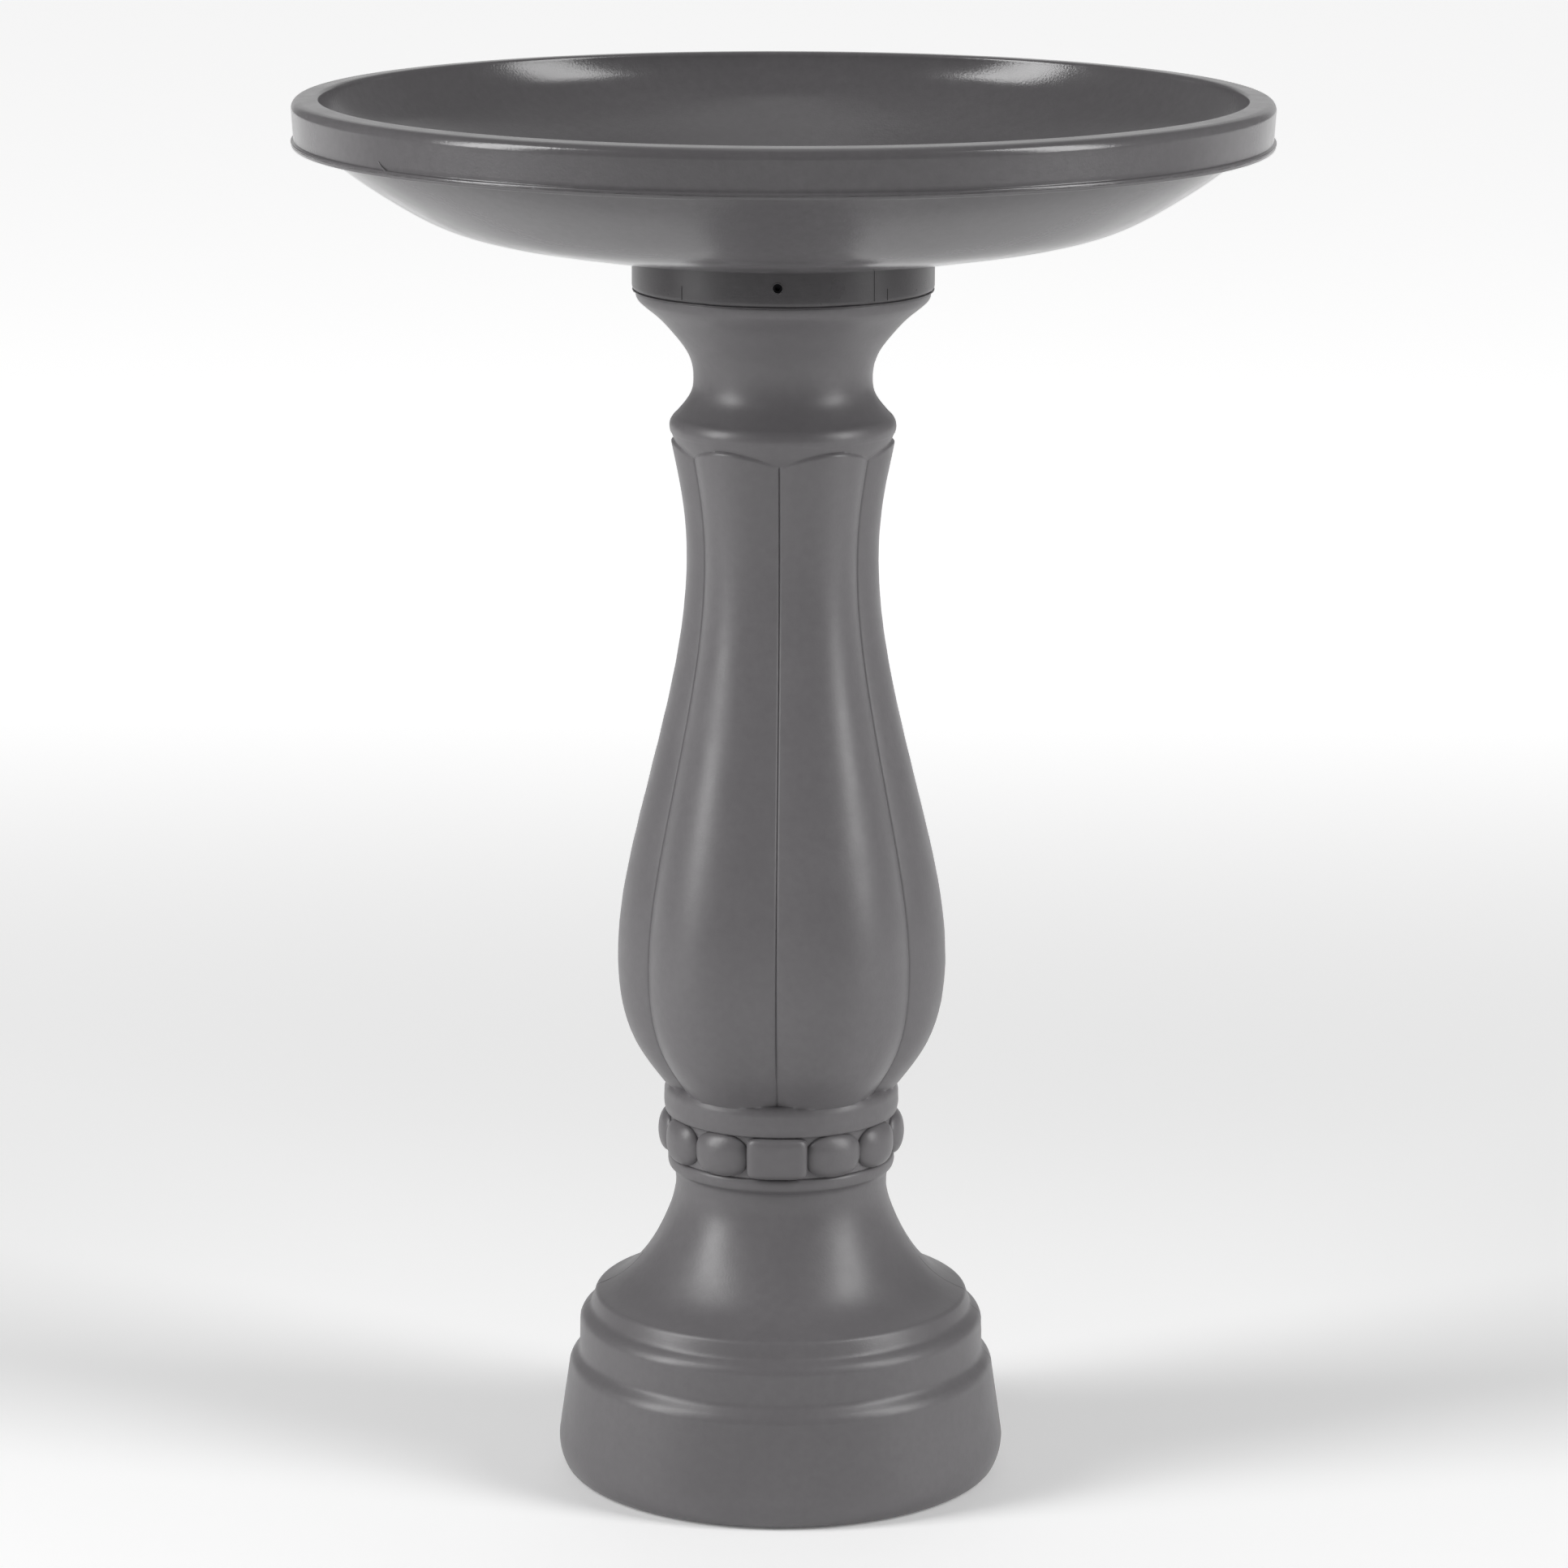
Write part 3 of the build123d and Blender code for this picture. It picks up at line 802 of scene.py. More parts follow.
@dataclass
class Heights:
    """Heights and radii that the frame gives, in millimetres."""

    rim: float = 0.0
    seam: float = 0.0
    flat: float = 0.0
    collar: float = 0.0
    spigot: float = 0.0
    seam_radius: float = 0.0
    collar_radius: float = 0.0

    @classmethod
    def from_frame(cls) -> "Heights":
        """Reads the heights off the CAD nodes' boxes."""
        dish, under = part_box("basin_dish")[1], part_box("basin_underside")
        collar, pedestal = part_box("basin_collar"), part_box("pedestal")
        return cls(
            rim=dish[2] / MM, seam=under[1][2] / MM, flat=under[0][2] / MM, collar=collar[0][2] / MM,
            spigot=pedestal[1][2] / MM, seam_radius=dish[0] / MM, collar_radius=collar[1][0] / MM,
        )


@dataclass
class Pedestal:
    """The hollow one-piece pedestal: foot, bell, bead band, lobed belly, neck and spigot."""

    at: Heights
    plastic: bpy.types.Material
    turned: bpy.types.NodeTree
    beads_tree: bpy.types.NodeTree
    fins: bpy.types.NodeTree
    wall: float = 3.0
    lobes: int = 6
    groove_ratio: float = 0.91
    belly_foot: float = 181.3
    belly_rise: float = 289.6
    belly_radius: float = 73.8
    belly_top_radius: float = 49.2
    throat_radius: float = 42.9
    bead_height: float = 157.5
    bead_core: float = 50.6
    bead_sizes: dict[BeadForm, tuple] = field(
        default_factory=lambda: {
            BeadForm.ROUND: (27.4, 19.6, 5.0, (0.8, 0.98)),
            BeadForm.TABLET: (27.2, 18.6, 4.4, (0.3, 0.5)),
        }
    )
    spigot_radius: float = 63.15
    keyway_width: float = 5.0
    keyway_depth: float = 4.4
    seat: float = 540.0

    def crown(self, heights: np.ndarray) -> np.ndarray:
        """Radius of a lobe's crown line at given heights."""
        h, slim = self.belly_rise, self.throat_radius
        swell = self.belly_radius - slim
        foot = self.belly_foot
        line = cubic(
            [
                (53.6, foot),
                (slim + 0.76 * swell, foot + 0.065 * h),
                (slim + swell, foot + 0.197 * h),
                (slim + 0.7 * swell, foot + 0.41 * h),
                (slim + 0.236 * swell, foot + 0.617 * h),
                (slim + 0.013 * swell, foot + 0.772 * h),
                (slim + 0.127 * (self.belly_top_radius - slim), foot + 0.893 * h),
                (self.belly_top_radius, foot + h),
            ],
            400,
            None,
            None,
        )
        below = (heights < foot) * (foot - heights) * 0.85
        above = (heights > foot + h) * (heights - foot - h) * 0.22
        return np.interp(heights, line[:, 1], line[:, 0]) - below + above

    def belly_rows(self, outline: Outline) -> None:
        """Adds the lobed rows, top to bottom, close together where the lobes end."""
        top, low = 475.2, 176.6
        shares = np.concatenate(
            [
                np.linspace(top, 464.0, 19),
                np.linspace(464.0, 200.0, 60)[1:],
                np.linspace(200.0, low, 31)[1:],
            ]
        )
        core_line = [
            (175.0, 53.0), (177.6, 52.8), (179.2, 52.3), (180.2, 51.6), (180.8, 50.6), (181.2, 49.2),
            (182.0, 46.5), (184.0, 43.5), (188.0, 40.0), (455.0, 38.0), (463.0, 39.8), (466.0, 42.3),
            (467.7, 44.1), (470.5, 46.2), (473.0, 47.8), (474.3, 48.4), (475.2, 48.8),
        ]
        core = np.interp(shares, *zip(*core_line))
        for z, crown, inside in zip(shares, self.crown(shares), core):
            outline.add((crown, z), core=float(inside))
        outline.add((float(core[-1]), low - 0.3))

    def outline(self) -> Outline:
        """Half-section of the moulding, from the top of the spigot round to its roof inside."""
        spigot, seat = self.spigot_radius, self.seat
        top = self.at.spigot
        line = Outline([(0.0, top)])
        line.to((40.0, top), (spigot - 1.2, top), parts=2)
        line.arc((spigot - 0.35, top - 0.35), (spigot, top - 1.2), 4)
        line.to((spigot, seat + 0.5), parts=4).to((spigot + 0.3, seat), (64.5, seat))
        line.arc((65.0, seat - 0.2), (65.2, seat - 0.7), 3)
        line.to((65.1, seat - 1.6)).arc((64.6, seat - 3.4), (63.0, seat - 5.4), 5)
        line.curve(
            (57.4, 530.0), (47.8, 520.0), (41.2, 510.0), (39.6, 501.0), (40.6, 494.5), (43.4, 489.8),
            (47.4, 485.1), parts=40, start=(-0.72, -0.7), end=(0.66, -0.75),
        )
        line.arc((49.6, 482.4), (50.2, 480.0), 6).arc((50.15, 478.6), (49.8, 477.2), 5)
        line.to((49.3, 476.7), (49.1, 476.0))
        self.belly_rows(line)
        line.to((53.0, 173.4), parts=2).arc((52.9, 170.2), (52.5, 168.4), 4)
        line.arc((52.2, 167.4), (51.2, 167.0), 4).to(
            (self.bead_core, 167.0), (self.bead_core, 148.0), parts=2
        )
        line.to((49.9, 147.6)).arc((50.8, 147.1), (51.2, 146.2), 4).arc((51.3, 144.4), (51.0, 142.9), 4)
        line.arc((50.5, 141.8), (49.5, 141.1), 4).arc((48.5, 139.7), (48.0, 137.6), 4)
        line.curve(
            (47.7, 134.5), (51.2, 119.4), (61.2, 100.3), (71.4, 89.2), (82.8, 83.1), parts=38,
            start=(-0.2, -1.0), end=(0.93, -0.37),
        )
        line.arc((83.9, 82.3), (84.6, 81.2), 6).to((85.5, 78.4), (86.0, 77.0)).arc(
            (86.7, 75.5), (88.2, 74.1), 5
        )
        line.to((89.6, 72.9)).arc((91.0, 70.9), (91.5, 68.6), 6).to((91.7, 57.2), parts=4)
        line.arc((92.1, 55.0), (93.2, 53.4), 5).to((94.0, 52.5)).arc((95.6, 50.4), (96.5, 47.2), 7)
        line.to((100.7, 18.0), parts=10).arc((100.8, 9.6), (98.9, 3.8), 8).arc((97.3, 1.5), (94.6, 0.35), 4)
        line.arc((93.2, 0.0), (91.6, 0.0), 2).to((80.0, 0.0), parts=2).arc((78.4, 0.5), (78.0, 1.8), 3)
        line.to((78.0, 5.0)).to((15.6, 5.0), parts=5).to(
            (15.0, 5.5), (15.0, 16.6), (15.3, 17.0), (17.8, 17.0)
        )
        line.to((18.0, 16.8), (18.0, 8.0)).to((90.0, 8.0), parts=4)
        line.to(
            (93.4, 45.0), (88.3, 54.0), (88.3, 67.5), (82.5, 76.5), (76.2, 81.2), (57.0, 98.0),
            (44.7, 131.5),
        )
        line.to((44.7, 184.3))
        inside = np.linspace(186.0, 464.0, 16)
        for z, crown in zip(inside, self.crown(inside)):
            line.add((self.groove_ratio * crown - self.wall, z))
        line.to((41.5, 483.0), (36.6, 501.0), (47.0, 524.0), (55.7, 540.0), (55.7, top - self.wall))
        return line.to((0.0, top - self.wall), parts=2)

    def build_shell(self) -> bpy.types.Object:
        """Grows the moulding and cuts the keyways in its spigot.

        Returns:
            The pedestal's shell.
        """
        half = math.pi / self.lobes
        across = self.groove_ratio * math.sin(half)
        deep = 1 - self.groove_ratio * math.cos(half)
        bow = (across**2 + deep**2) / (2 * deep)
        shell = grow(
            self.outline().mesh("pedestal_shell"),
            self.turned,
            self.plastic,
            {
                "Columns": 348, "Lobes": self.lobes, "Bow Radius": bow, "Bow Centre": 1 - bow,
                "Top": 474.0 * MM, "Top Dip": 5.4 * MM, "Bottom": 177.0 * MM, "Bottom Rise": 1.0 * MM,
                "Roll": 2.1 * MM, "Crowding": 0.74, "Groove Depth": 0.4 * MM, "Groove Width": 0.8 * MM,
                "Waver": 0.15 * MM, "Waver Size": 70 * MM,
            },
        )
        face_outwards(shell)
        for turn in (0.0, math.pi):
            work = bmesh.new()
            bmesh.ops.create_cube(work, size=1.0)
            size = Vector((self.keyway_width, 2 * self.keyway_depth, 16.0)) * MM
            place = Matrix.Rotation(turn, 4, "Z") @ Matrix.Translation(
                Vector((0.0, -self.spigot_radius, self.seat + 8.0)) * MM
            )
            bmesh.ops.transform(work, matrix=place @ Matrix.Diagonal((*size, 1.0)), verts=work.verts)
            cut(shell, solid("keyway", work))
        set_creases(shell)
        return shell

    def bead(self, form: BeadForm) -> bpy.types.Object:
        """Makes one bead at the origin, its proud side towards -Y.

        Args:
            form: Round bead or tablet.

        Returns:
            The bead, to be set round the channel.
        """
        wide, tall, proud, square = self.bead_sizes[form]
        work = bmesh.new()
        bmesh.ops.create_uvsphere(work, u_segments=48, v_segments=28, radius=1.0)
        for vertex in work.verts:
            # a superellipsoid: square is 1 for a plain ellipsoid and less for a pillow
            side, depth, rise = vertex.co
            flat = math.hypot(side, rise)
            turn = math.atan2(rise, side)
            across, up = (math.copysign(abs(t) ** square[0], t) for t in (math.cos(turn), math.sin(turn)))
            x = wide / 2 * across * flat ** square[1]
            z = tall / 2 * up * flat ** square[1]
            y = proud * math.copysign(abs(depth) ** square[1], depth) * (0.4 if depth > 0 else 1.0)
            y += self.bead_core * (1 - math.cos(x / self.bead_core)) * 0.9
            vertex.co = Vector((x, y, z)) * MM
        bead = solid(f"bead_{form.value}", work)
        bead.data.polygons.foreach_set("use_smooth", [True] * len(bead.data.polygons))
        return bead

    def build_beads(self, form: BeadForm) -> bpy.types.Object:
        """Sets one kind of bead round the channel.

        Args:
            form: Which beads.

        Returns:
            All of that kind as one piece.
        """
        ring = grow(
            self.bead(form),
            self.beads_tree,
            self.plastic,
            {
                "Places": 12, "Every": 6, "Skip": 1 if form is BeadForm.ROUND else 0,
                "Radius": (self.bead_core + 0.1) * MM, "Height": self.bead_height * MM,
            },
        )
        ring.name = f"pedestal_beads_{form.value}"
        face_outwards(ring)
        set_creases(ring)
        return ring

    def parting_path(self, shell: bpy.types.Object, side: float) -> bpy.types.Object:
        """Path of the mould's parting line up one side of the pedestal.

        Args:
            shell: The pedestal's shell, whose own vertices the path runs through.
            side: 1 for +X and -1 for -X.

        Returns:
            The path as a mesh of edges.
        """
        widest: dict[float, float] = {}
        for vertex in shell.data.vertices:
            x, y, z = vertex.co / MM
            if abs(y) < 0.01 and x * side > 0:
                widest[round(z, 2)] = max(widest.get(round(z, 2), 0.0), x * side)
        rows = [
            (side * (widest[z] - 0.16) * MM, 0.0, z * MM)
            for z in sorted(widest)
            if 4.0 < z < self.seat - 2 and not 148.0 < z < 167.0 and widest[z] > self.spigot_radius * 0.6
        ]
        data = bpy.data.meshes.new("parting_line")
        data.from_pydata(
            rows, [(i, i + 1) for i in range(len(rows) - 1) if rows[i + 1][2] - rows[i][2] < 0.012], []
        )
        path = bpy.data.objects.new(f"pedestal_parting_line_{'right' if side > 0 else 'left'}", data)
        bpy.context.scene.collection.objects.link(path)
        return path

    def build(self) -> None:
        """Builds and dresses the whole pedestal."""
        shell = self.build_shell()
        settle(shell, "pedestal", ("pedestal",))
        for form in BeadForm:
            settle(self.build_beads(form), "pedestal", ("pedestal",))
        for side in (1.0, -1.0):
            line = grow(
                self.parting_path(shell, side),
                self.fins,
                self.plastic,
                {"Width": 0.42 * MM, "Depth": 0.3 * MM, "Unevenness": 0.45, "Grain": 9 * MM},
            )
            settle(line, "pedestal", ("pedestal",))


@dataclass
class Basin:
    """The double-walled basin and the collar under it."""

    at: Heights
    plastic: bpy.types.Material
    # the collar's finish: its darker tone is partly its own colour and partly painted shade
    collar_plastic: bpy.types.Material
    turned: bpy.types.NodeTree
    fins: bpy.types.NodeTree
    dish_wall: float = 3.0
    under_wall: float = 3.0
    gap: float = 2.5
    lip: float = 1.2
    taper: float = 0.8
    rim_width: float = 12.0
    flat_radius: float = 72.0
    bend_share: float = 0.08
    ledge: float = 10.0
    slope: Point = (0.72, 0.69)
    collar_wall: float = 3.2
    web: float = 3.0
    web_radius: float = 42.0
    screw_drop: float = 8.6
    screw_bore: float = 2.08

    def bowl(self, inset: float) -> list[Point]:
        """Points of the bowl's curve, seam to centre, moved inwards from the outer face."""
        fall = self.at.seam - self.at.flat
        edge = self.at.seam_radius - self.lip - self.ledge - 0.75 * inset
        across = edge - self.flat_radius
        points = [(edge, self.at.seam - 0.8 + 0.6 * inset)]
        for share, depth in ((0.218, 0.462), (0.407, 0.735), (0.632, 0.88)):
            points.append((edge - share * across, self.at.seam - depth * fall + 0.9 * inset))
        return [*points, (self.flat_radius, self.at.flat + inset)]

    def dish_outline(self) -> Outline:
        """Half-section of the upper shell, from the middle of the water side round to its back."""
        band = self.at.seam_radius - self.lip
        outer = band + self.taper
        lip = outer - self.rim_width
        rim, seam, wall = self.at.rim, self.at.seam, self.dish_wall
        down = (-self.slope[0], -self.slope[1])
        water = cubic(self.bowl(self.under_wall + self.gap + wall)[::-1], 56, (1, 0), self.slope)
        bend = round(56 * (1 - self.bend_share))
        back = self.bowl(self.under_wall + self.gap)
        line = Outline([(0.0, water[0][1])])
        line.to(water[0], parts=6).to(*water[1 : bend + 1])
        line.curve((lip, rim - 1.8), parts=16, start=water[bend] - water[bend - 1], end=(0.12, 1.0))
        line.arc((lip + 0.4, rim - 0.5), (lip + 1.5, rim), 5).to((outer - 4.2, rim - 0.3), parts=3)
        line.arc((outer - 1.0, rim - 1.7), (outer, rim - 5.0), 9)
        line.to((band, seam + 1.6), parts=7).arc((band + 0.1, seam + 1.3), (band + 0.35, seam + 1.2), 3)
        line.arc((self.at.seam_radius - 0.2, seam + 1.0), (self.at.seam_radius - 0.05, seam + 0.6), 3)
        line.to(
            (self.at.seam_radius - 0.05, seam + 0.25), (self.at.seam_radius - 0.4, seam),
            (band - wall, seam),
        )
        line.to((outer - wall, rim - 6.5), parts=3)
        line.arc((outer - self.rim_width / 2, rim - wall), (lip + wall, rim - 6.0), 8)
        line.curve(back[0], parts=10, start=(-0.1, -1.0), end=down)
        line.curve(*back[1:], parts=26, start=down, end=(-1, 0))
        return line.to((0.0, back[-1][1]), parts=3)

    def underside_outline(self) -> Outline:
        """Half-section of the lower shell, from its middle below round to its middle above."""
        band = self.at.seam_radius - self.lip
        down = (-self.slope[0], -self.slope[1])
        seam = self.at.seam
        outer = self.bowl(0)[::-1]
        inner = self.bowl(self.under_wall)
        line = Outline([(0.0, outer[0][1])])
        line.to(outer[0], parts=5).curve(*outer[1:], parts=44, start=(1, 0), end=self.slope)
        line.arc((band - self.ledge + 1.6, seam - 0.5), (band - self.ledge + 3.6, seam - 1.0), 4)
        line.to((self.at.seam_radius - 1.5, seam - 1.7))
        line.arc((self.at.seam_radius - 0.6, seam - 1.5), (self.at.seam_radius - 0.3, seam - 0.9), 3)
        line.to((self.at.seam_radius - 0.25, seam - 0.3), (self.at.seam_radius - 0.6, seam))
        line.to((band - self.dish_wall - 2.0, seam), inner[0])
        line.curve(*inner[1:], parts=26, start=down, end=(-1, 0))
        return line.to((0.0, inner[-1][1]), parts=3)

    def collar_outline(self) -> Outline:
        """Closed section of the collar ring, drawn once round."""
        bore = self.at.collar_radius - self.collar_wall
        out, low, high = self.at.collar_radius, self.at.collar, self.at.flat
        line = Outline([(bore, low + 0.4)])
        line.to((bore + 0.4, low), (out - 1.3, low)).arc(
            (out - 0.95, low + 0.12), (out - 0.6, low + 0.65), 3
        )
        line.arc((out - 0.2, low + 1.3), (out - 0.05, low + 2.3), 3).to((out - 0.05, high), parts=5)
        line.to((self.web_radius, high), (self.web_radius, high - self.web), parts=2)
        return line.to((bore, high - self.web), parts=2).to((bore, low + 0.4), parts=3)

    def shell(
        self, name: str, outline: Outline, finish: bpy.types.Material, columns: int
    ) -> bpy.types.Object:
        """Grows one turned shell.

        Args:
            name: The piece's name.
            outline: Its half-section.
            finish: Its material.
            columns: How many columns go round it.

        Returns:
            The piece, its faces outwards.
        """
        piece = grow(
            outline.mesh(name),
            self.turned,
            finish,
            {"Columns": columns, "Lobes": 1, "Waver": 0.1 * MM, "Waver Size": 60 * MM},
        )
        face_outwards(piece)
        return piece

    def build_collar(self) -> bpy.types.Object:
        """Grows the collar and drills its two screw holes.

        Returns:
            The collar.
        """
        collar = self.shell("basin_collar_ring", self.collar_outline(), self.collar_plastic, 288)
        for side in (1.0, -1.0):
            work = bmesh.new()
            bmesh.ops.create_cone(
                work, cap_ends=True, segments=40, radius1=self.screw_bore * MM,
                radius2=self.screw_bore * MM, depth=12 * MM,
            )
            place = Matrix.Translation(
                Vector((0.0, side * self.at.collar_radius, self.at.collar + self.screw_drop)) * MM
            ) @ Matrix.Rotation(math.pi / 2, 4, "X")
            bmesh.ops.transform(work, matrix=place, verts=work.verts)
            cut(collar, solid("drill", work))
        set_creases(collar)
        return collar

    def circle(self, name: str, radius: float, height: float, count: int) -> bpy.types.Object:
        """Makes a closed ring of edges round the axis.

        Args:
            name: The object's name.
            radius: Its radius.
            height: Its height.
            count: How many points it has.

        Returns:
            The ring, as a path for a fin.
        """
        turns = [2 * math.pi * i / count for i in range(count)]
        data = bpy.data.meshes.new(name)
        data.from_pydata(
            [(radius * MM * math.sin(t), -radius * MM * math.cos(t), height * MM) for t in turns],
            [(i, (i + 1) % count) for i in range(count)],
            [],
        )
        ring = bpy.data.objects.new(name, data)
        bpy.context.scene.collection.objects.link(ring)
        return ring

    def path(self, name: str, rows: list[tuple[float, float, float]]) -> bpy.types.Object:
        """Makes an open path of edges.

        Args:
            name: The object's name.
            rows: Azimuth from -Y in degrees, radius and height of each point.

        Returns:
            The path.
        """
        data = bpy.data.meshes.new(name)
        spots = [
            (r * MM * math.sin(math.radians(t)), -r * MM * math.cos(math.radians(t)), z * MM)
            for t, r, z in rows
        ]
        data.from_pydata(spots, [(i, i + 1) for i in range(len(spots) - 1)], [])
        thing = bpy.data.objects.new(name, data)
        bpy.context.scene.collection.objects.link(thing)
        return thing

    def marks(self) -> list[tuple]:
        """Flash and witness lines that the moulds left on the basin.

        Returns:
            Path, finish, slot, CAD node, width, depth and unevenness of each.
        """
        seam, low, out = self.at.seam, self.at.collar, self.at.collar_radius
        band = self.at.seam_radius - self.lip
        basin = (self.plastic, "basin_plastic", "basin_dish")
        collar = (self.collar_plastic, "collar_plastic", "basin_collar")
        nick = [
            (-49.7, band + 0.1, seam + 4.2), (-49.0, band + 0.3, seam + 2.2),
            (-47.9, band + 0.5, seam + 0.4),
        ]
        burr = [
            (math.degrees(2.4 * math.sin(t) / out), out - 0.05, low + self.screw_drop + 2.4 * math.cos(t))
            for t in np.linspace(0, 2 * math.pi, 25)
        ]
        return [
            (
                self.circle("basin_seam_flash", self.at.seam_radius - 0.42, seam, 720),
                *basin,
                0.3,
                0.34,
                0.25,
            ),
            (self.path("basin_sprue_scar", nick), *basin, 0.7, 0.7, 0.6),
            (self.circle("collar_edge_flash", out - 0.62, low - 0.05, 360), *collar, 0.5, 0.5, 0.6),
            (self.path("collar_hole_burr", burr), *collar, 0.26, 0.26, 0.6),
            (
                self.path("collar_witness_tall", [(38.2, out, low + 1.5), (38.2, out, low + 16.9)]),
                *collar,
                0.32,
                0.2,
                0.7,
            ),
            (
                self.path("collar_witness_low", [(44.6, out, low + 1.5), (44.6, out, low + 6.5)]),
                *collar,
                0.32,
                0.2,
                0.7,
            ),
            (
                self.path("collar_witness_left", [(-39.0, out, low + 1.5), (-39.0, out, low + 7.5)]),
                *collar,
                0.32,
                0.2,
                0.7,
            ),
        ]

    def build(self) -> None:
        """Builds and dresses the basin and its collar."""
        dish = self.shell("basin_dish_shell", self.dish_outline(), self.plastic, 640)
        set_creases(dish)
        settle(dish, "basin", ("basin_dish",))
        under = self.shell("basin_underside_shell", self.underside_outline(), self.plastic, 640)
        set_creases(under)
        settle(under, "basin", ("basin_underside",))
        settle(self.build_collar(), "basin", ("basin_collar",))
        for path, finish, slot, node, width, depth, uneven in self.marks():
            fin = grow(
                path,
                self.fins,
                finish,
                {"Width": width * MM, "Depth": depth * MM, "Unevenness": uneven, "Grain": 7 * MM},
            )
            settle(fin, "basin", (node,))


@dataclass
class Studio:
    """Pale floor, soft lights and the camera."""

    distance: float = 2.5795
    height: float = 0.88295
    down: float = math.radians(12.37)
    azimuth: float = math.radians(2.1)
    focal_px: float = 7269.0
    frame_px: float = 1932.0
    aside_px: float = 2.5
    roll: float = math.radians(0.15)
    floor_colour: str = "fafafa"
    box_power: float = 60.0
    backdrop_half: float = 22.0
    backdrop_glow: float = 0.62
    # painted light: how strongly the floor glows far behind the object
    painted_floor_glow: float = 0.7
    wall_glow: float = 0.2
    front_glow: float = 0.07

    def add_camera(self) -> None:
        """Sets the camera at the object's height and distance."""
        data = bpy.data.cameras.new("camera")
        data.sensor_width = 36.0
        data.lens = self.focal_px / self.frame_px * data.sensor_width
        data.clip_end = 20.0
        camera = bpy.data.objects.new("camera", data)
        bpy.context.scene.collection.objects.link(camera)
        camera.location = (
            self.distance * math.sin(self.azimuth), -self.distance * math.cos(self.azimuth), self.height
        )
        heading = self.azimuth - math.atan(self.aside_px / self.focal_px)
        aim = (
            Matrix.Rotation(heading, 4, "Z")
            @ Matrix.Rotation(math.pi / 2 - self.down, 4, "X")
            @ Matrix.Rotation(self.roll, 4, "Z")
        )
        camera.rotation_euler = aim.to_euler()
        bpy.context.scene.camera = camera

    def add_panel(self, name: str, place: Point, height: float, size: Point, power: float) -> None:
        """Adds one soft box that faces the object.

        Args:
            name: The light's name.
            place: Azimuth in degrees from the camera side, and distance.
            height: Height of its middle.
            size: Width and height.
            power: Watts.
        """
        data = bpy.data.lights.new(name, "AREA")
        data.shape = "RECTANGLE"
        data.size, data.size_y = size
        data.energy = power
        light = bpy.data.objects.new(name, data)
        bpy.context.scene.collection.objects.link(light)
        turn = math.radians(place[0])
        light.location = (place[1] * math.sin(turn), -place[1] * math.cos(turn), height)
        aim = Vector((0.0, 0.0, 0.33)) - light.location
        light.rotation_euler = aim.to_track_quat("-Z", "Y").to_euler()

    def add_surround(self) -> None:
        """Adds the surround: a white backdrop behind, dimmer walls and a dark camera side."""
        world = bpy.data.worlds.new("studio")
        bpy.context.scene.world = world
        world.use_nodes = True
        tree = world.node_tree
        tree.nodes.clear()
        way = add_node(
            tree, "ShaderNodeSeparateXYZ", {0: add_node(tree, "ShaderNodeTexCoord").outputs["Generated"]}
        )
        side, back = way.outputs["X"], way.outputs["Y"]
        span = add_node(
            tree,
            "ShaderNodeMath",
            {
                0: add_node(tree, "ShaderNodeMath", {0: side, 1: 2.0}, operation="POWER"),
                1: add_node(tree, "ShaderNodeMath", {0: back, 1: 2.0}, operation="POWER"),
            },
        )
        reach = add_node(tree, "ShaderNodeMath", {0: span, 1: 0.5}, operation="POWER")
        facing = add_node(tree, "ShaderNodeMath", {0: back, 1: reach}, operation="DIVIDE")
        backdrop = add_node(
            tree,
            "ShaderNodeMapRange",
            {
                "Value": facing,
                "From Min": math.cos(math.radians(self.backdrop_half + 4)),
                "From Max": math.cos(math.radians(self.backdrop_half - 4)),
            },
            interpolation_type="SMOOTHSTEP",
        )
        front = add_node(
            tree,
            "ShaderNodeMapRange",
            {
                "Value": facing, "From Min": -0.9, "From Max": 0.2, "To Min": self.front_glow,
                "To Max": self.wall_glow,
            },
            interpolation_type="SMOOTHSTEP",
        )
        glow = add_node(
            tree, "ShaderNodeMapRange", {"Value": backdrop, "To Min": front, "To Max": self.backdrop_glow}
        )
        light = add_node(tree, "ShaderNodeBackground", {"Color": (1.0, 1.0, 1.0, 1.0), "Strength": glow})
        add_node(tree, "ShaderNodeOutputWorld", {"Surface": light})

    def add_floor(self) -> None:
        """Adds the pale floor, a wide disc on the ground that glows with painted light."""
        work = bmesh.new()
        bmesh.ops.create_circle(work, cap_ends=True, segments=96, radius=9.0)
        floor = solid("floor", work)
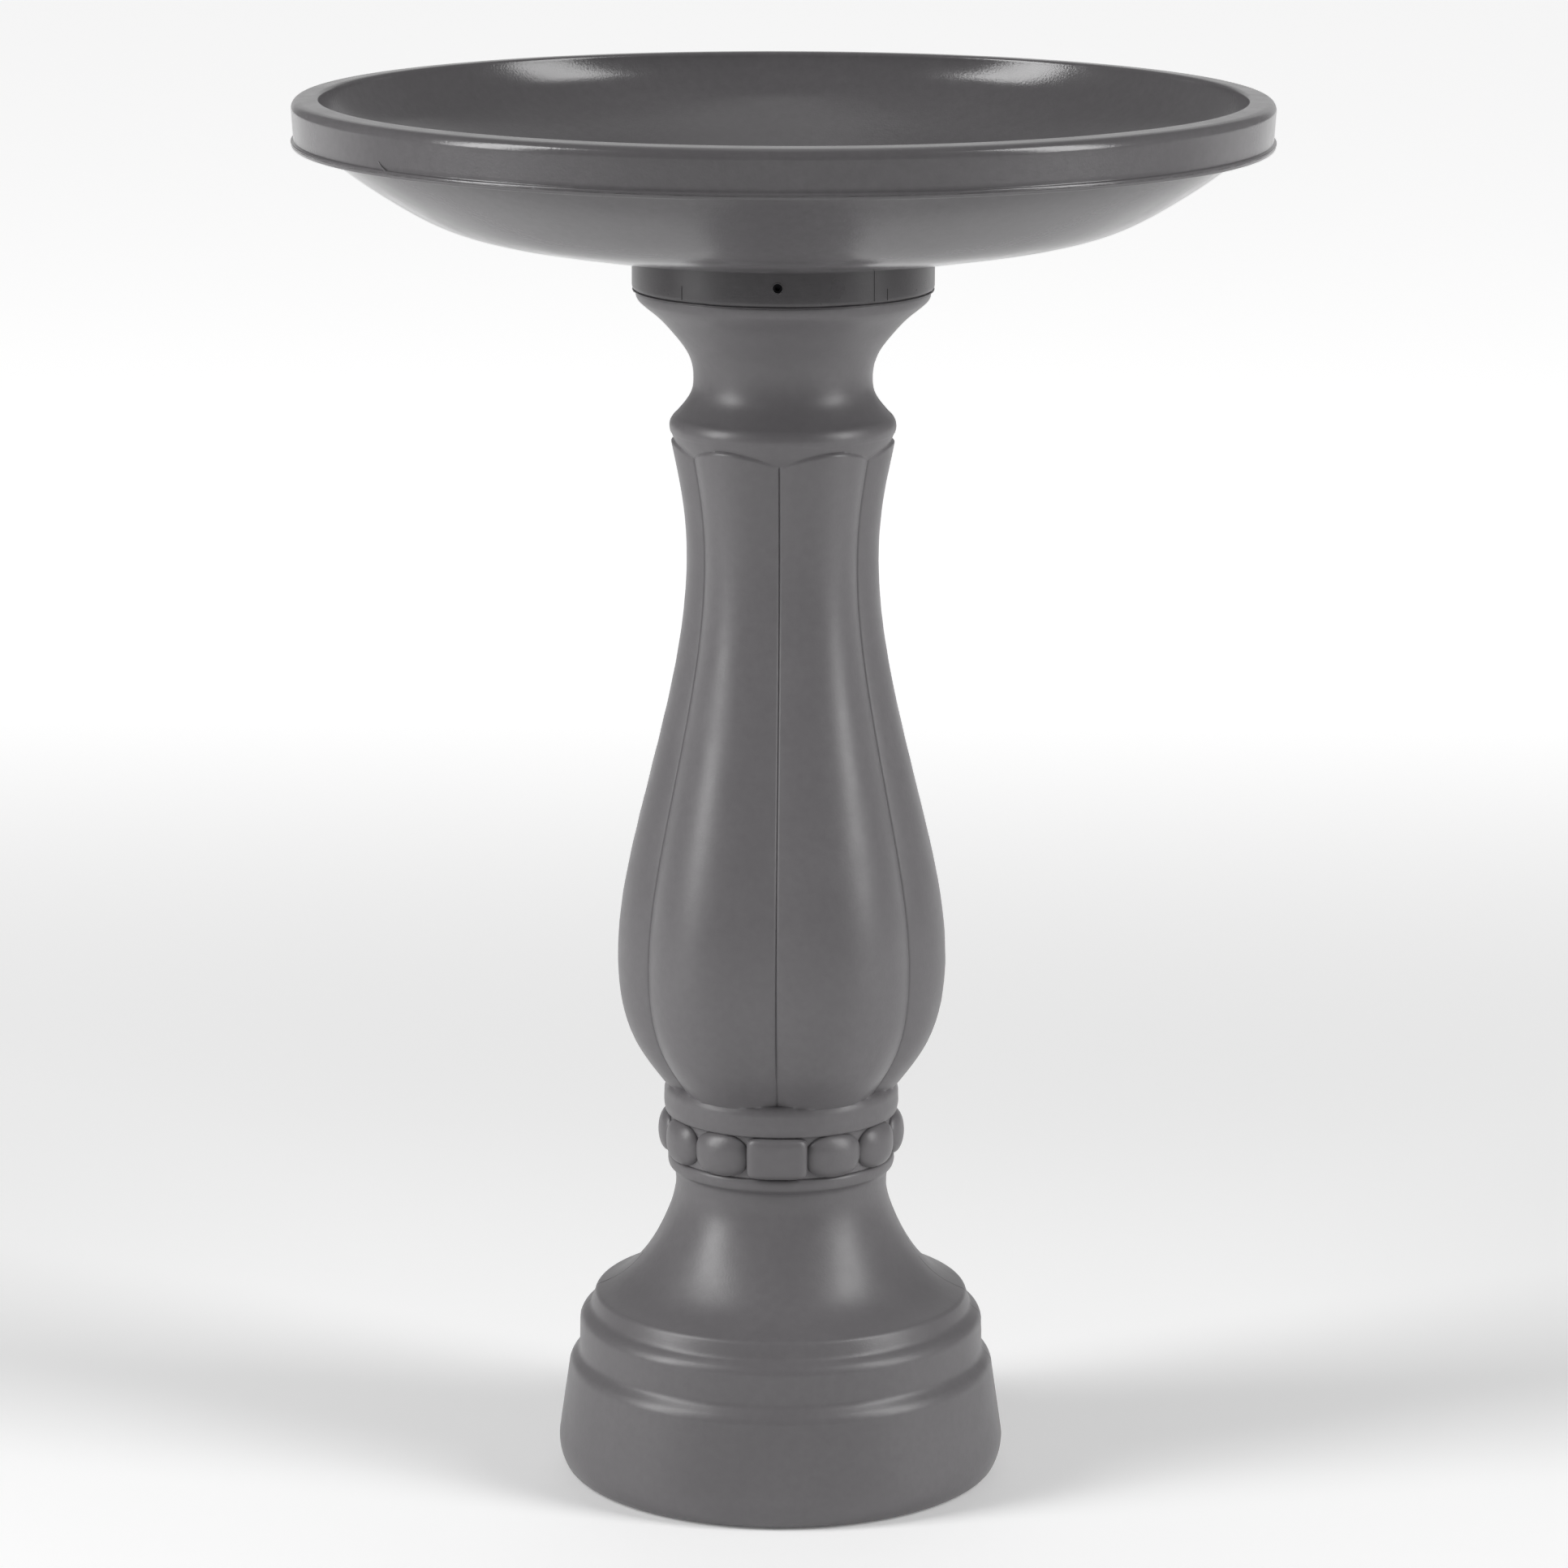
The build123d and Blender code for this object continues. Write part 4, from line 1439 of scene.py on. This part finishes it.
        # painted light: the floor glows at 0.1 by the object and reaches its full glow between 0.5 m and 2.3
        # m behind it, standing in for a lit white sweep; the glow also lights the object from below
        material = bpy.data.materials.new("pale_studio_floor")
        material.use_nodes = True
        tree = material.node_tree
        place = add_node(
            tree, "ShaderNodeSeparateXYZ", {0: add_node(tree, "ShaderNodeTexCoord").outputs["Object"]}
        )
        glow = add_node(
            tree,
            "ShaderNodeMapRange",
            {
                "Value": place.outputs["Y"], "From Min": 0.5, "From Max": 2.3, "To Min": 0.1,
                "To Max": self.painted_floor_glow,
            },
            interpolation_type="SMOOTHSTEP",
        )
        shader = tree.nodes["Principled BSDF"]
        shader.inputs["Base Color"].default_value = linear(self.floor_colour)
        shader.inputs["Emission Color"].default_value = (1.0, 1.0, 1.0, 1.0)
        shader.inputs["Roughness"].default_value = 0.9
        tree.links.new(glow.outputs[0], shader.inputs["Emission Strength"])
        floor.data.materials.append(material)

    def build(self) -> None:
        """Builds the studio."""
        self.add_camera()
        self.add_floor()
        self.add_surround()
        for name, turn, share in (("left_box", -69.0, 1.0), ("right_box", 70.0, 0.88)):
            self.add_panel(name, (turn, 2.4), 1.6, (0.85, 2.3), share * self.box_power)
        bpy.context.scene.view_settings.view_transform = "Standard"


def dress_frame_nodes() -> None:
    """Gives the small CAD nodes that stay visible their finishes."""
    steel = BlackOxideSteel().build()
    plug = MouldedPolyethylene("plug_polyethylene", "3c3c3d", "454546", grain_mm=0.8).build()
    rubber = SealRubber().build()
    for node, material in (
        ("collar_screw_front", steel), ("collar_screw_back", steel), ("ballast_plug", plug),
        ("plug_seal", rubber),
    ):
        thing = bpy.data.objects.get(node) or FRAME["nodes"][node]
        thing.data.materials.clear()
        thing.data.materials.append(material)
        LOG.info("%s dressed in %s", node, material.name)


FRAME: dict = {}


def main() -> None:
    """Loads the frame, builds each sub-assembly in order and sets the studio."""
    logging.basicConfig(level=logging.INFO, format="%(name)s: %(message)s")
    FRAME.update(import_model())
    at = Heights.from_frame()
    turned, beads, fins = turned_tree(), ring_tree(), fin_tree()
    basin_plastic = MouldedPolyethylene("basin_polyethylene", "5a585a", "5f5d5f", roughness=0.18).build()
    pedestal_plastic = MouldedPolyethylene(
        "pedestal_polyethylene", "646264", "696769", roughness=0.38
    ).build()
    # the collar's darker tone is partly its own colour and partly painted shade: the shade under the basin's
    # overhang is darkened into its colour
    collar_plastic = MouldedPolyethylene(
        "collar_painted_shade_polyethylene", "464446", "4b494b", roughness=0.3, scuff=0.03
    ).build()
    Basin(at, basin_plastic, collar_plastic, turned, fins).build()
    Pedestal(at, pedestal_plastic, turned, beads, fins).build()
    dress_frame_nodes()
    Studio().build()


if __name__ == "__main__":
    main()
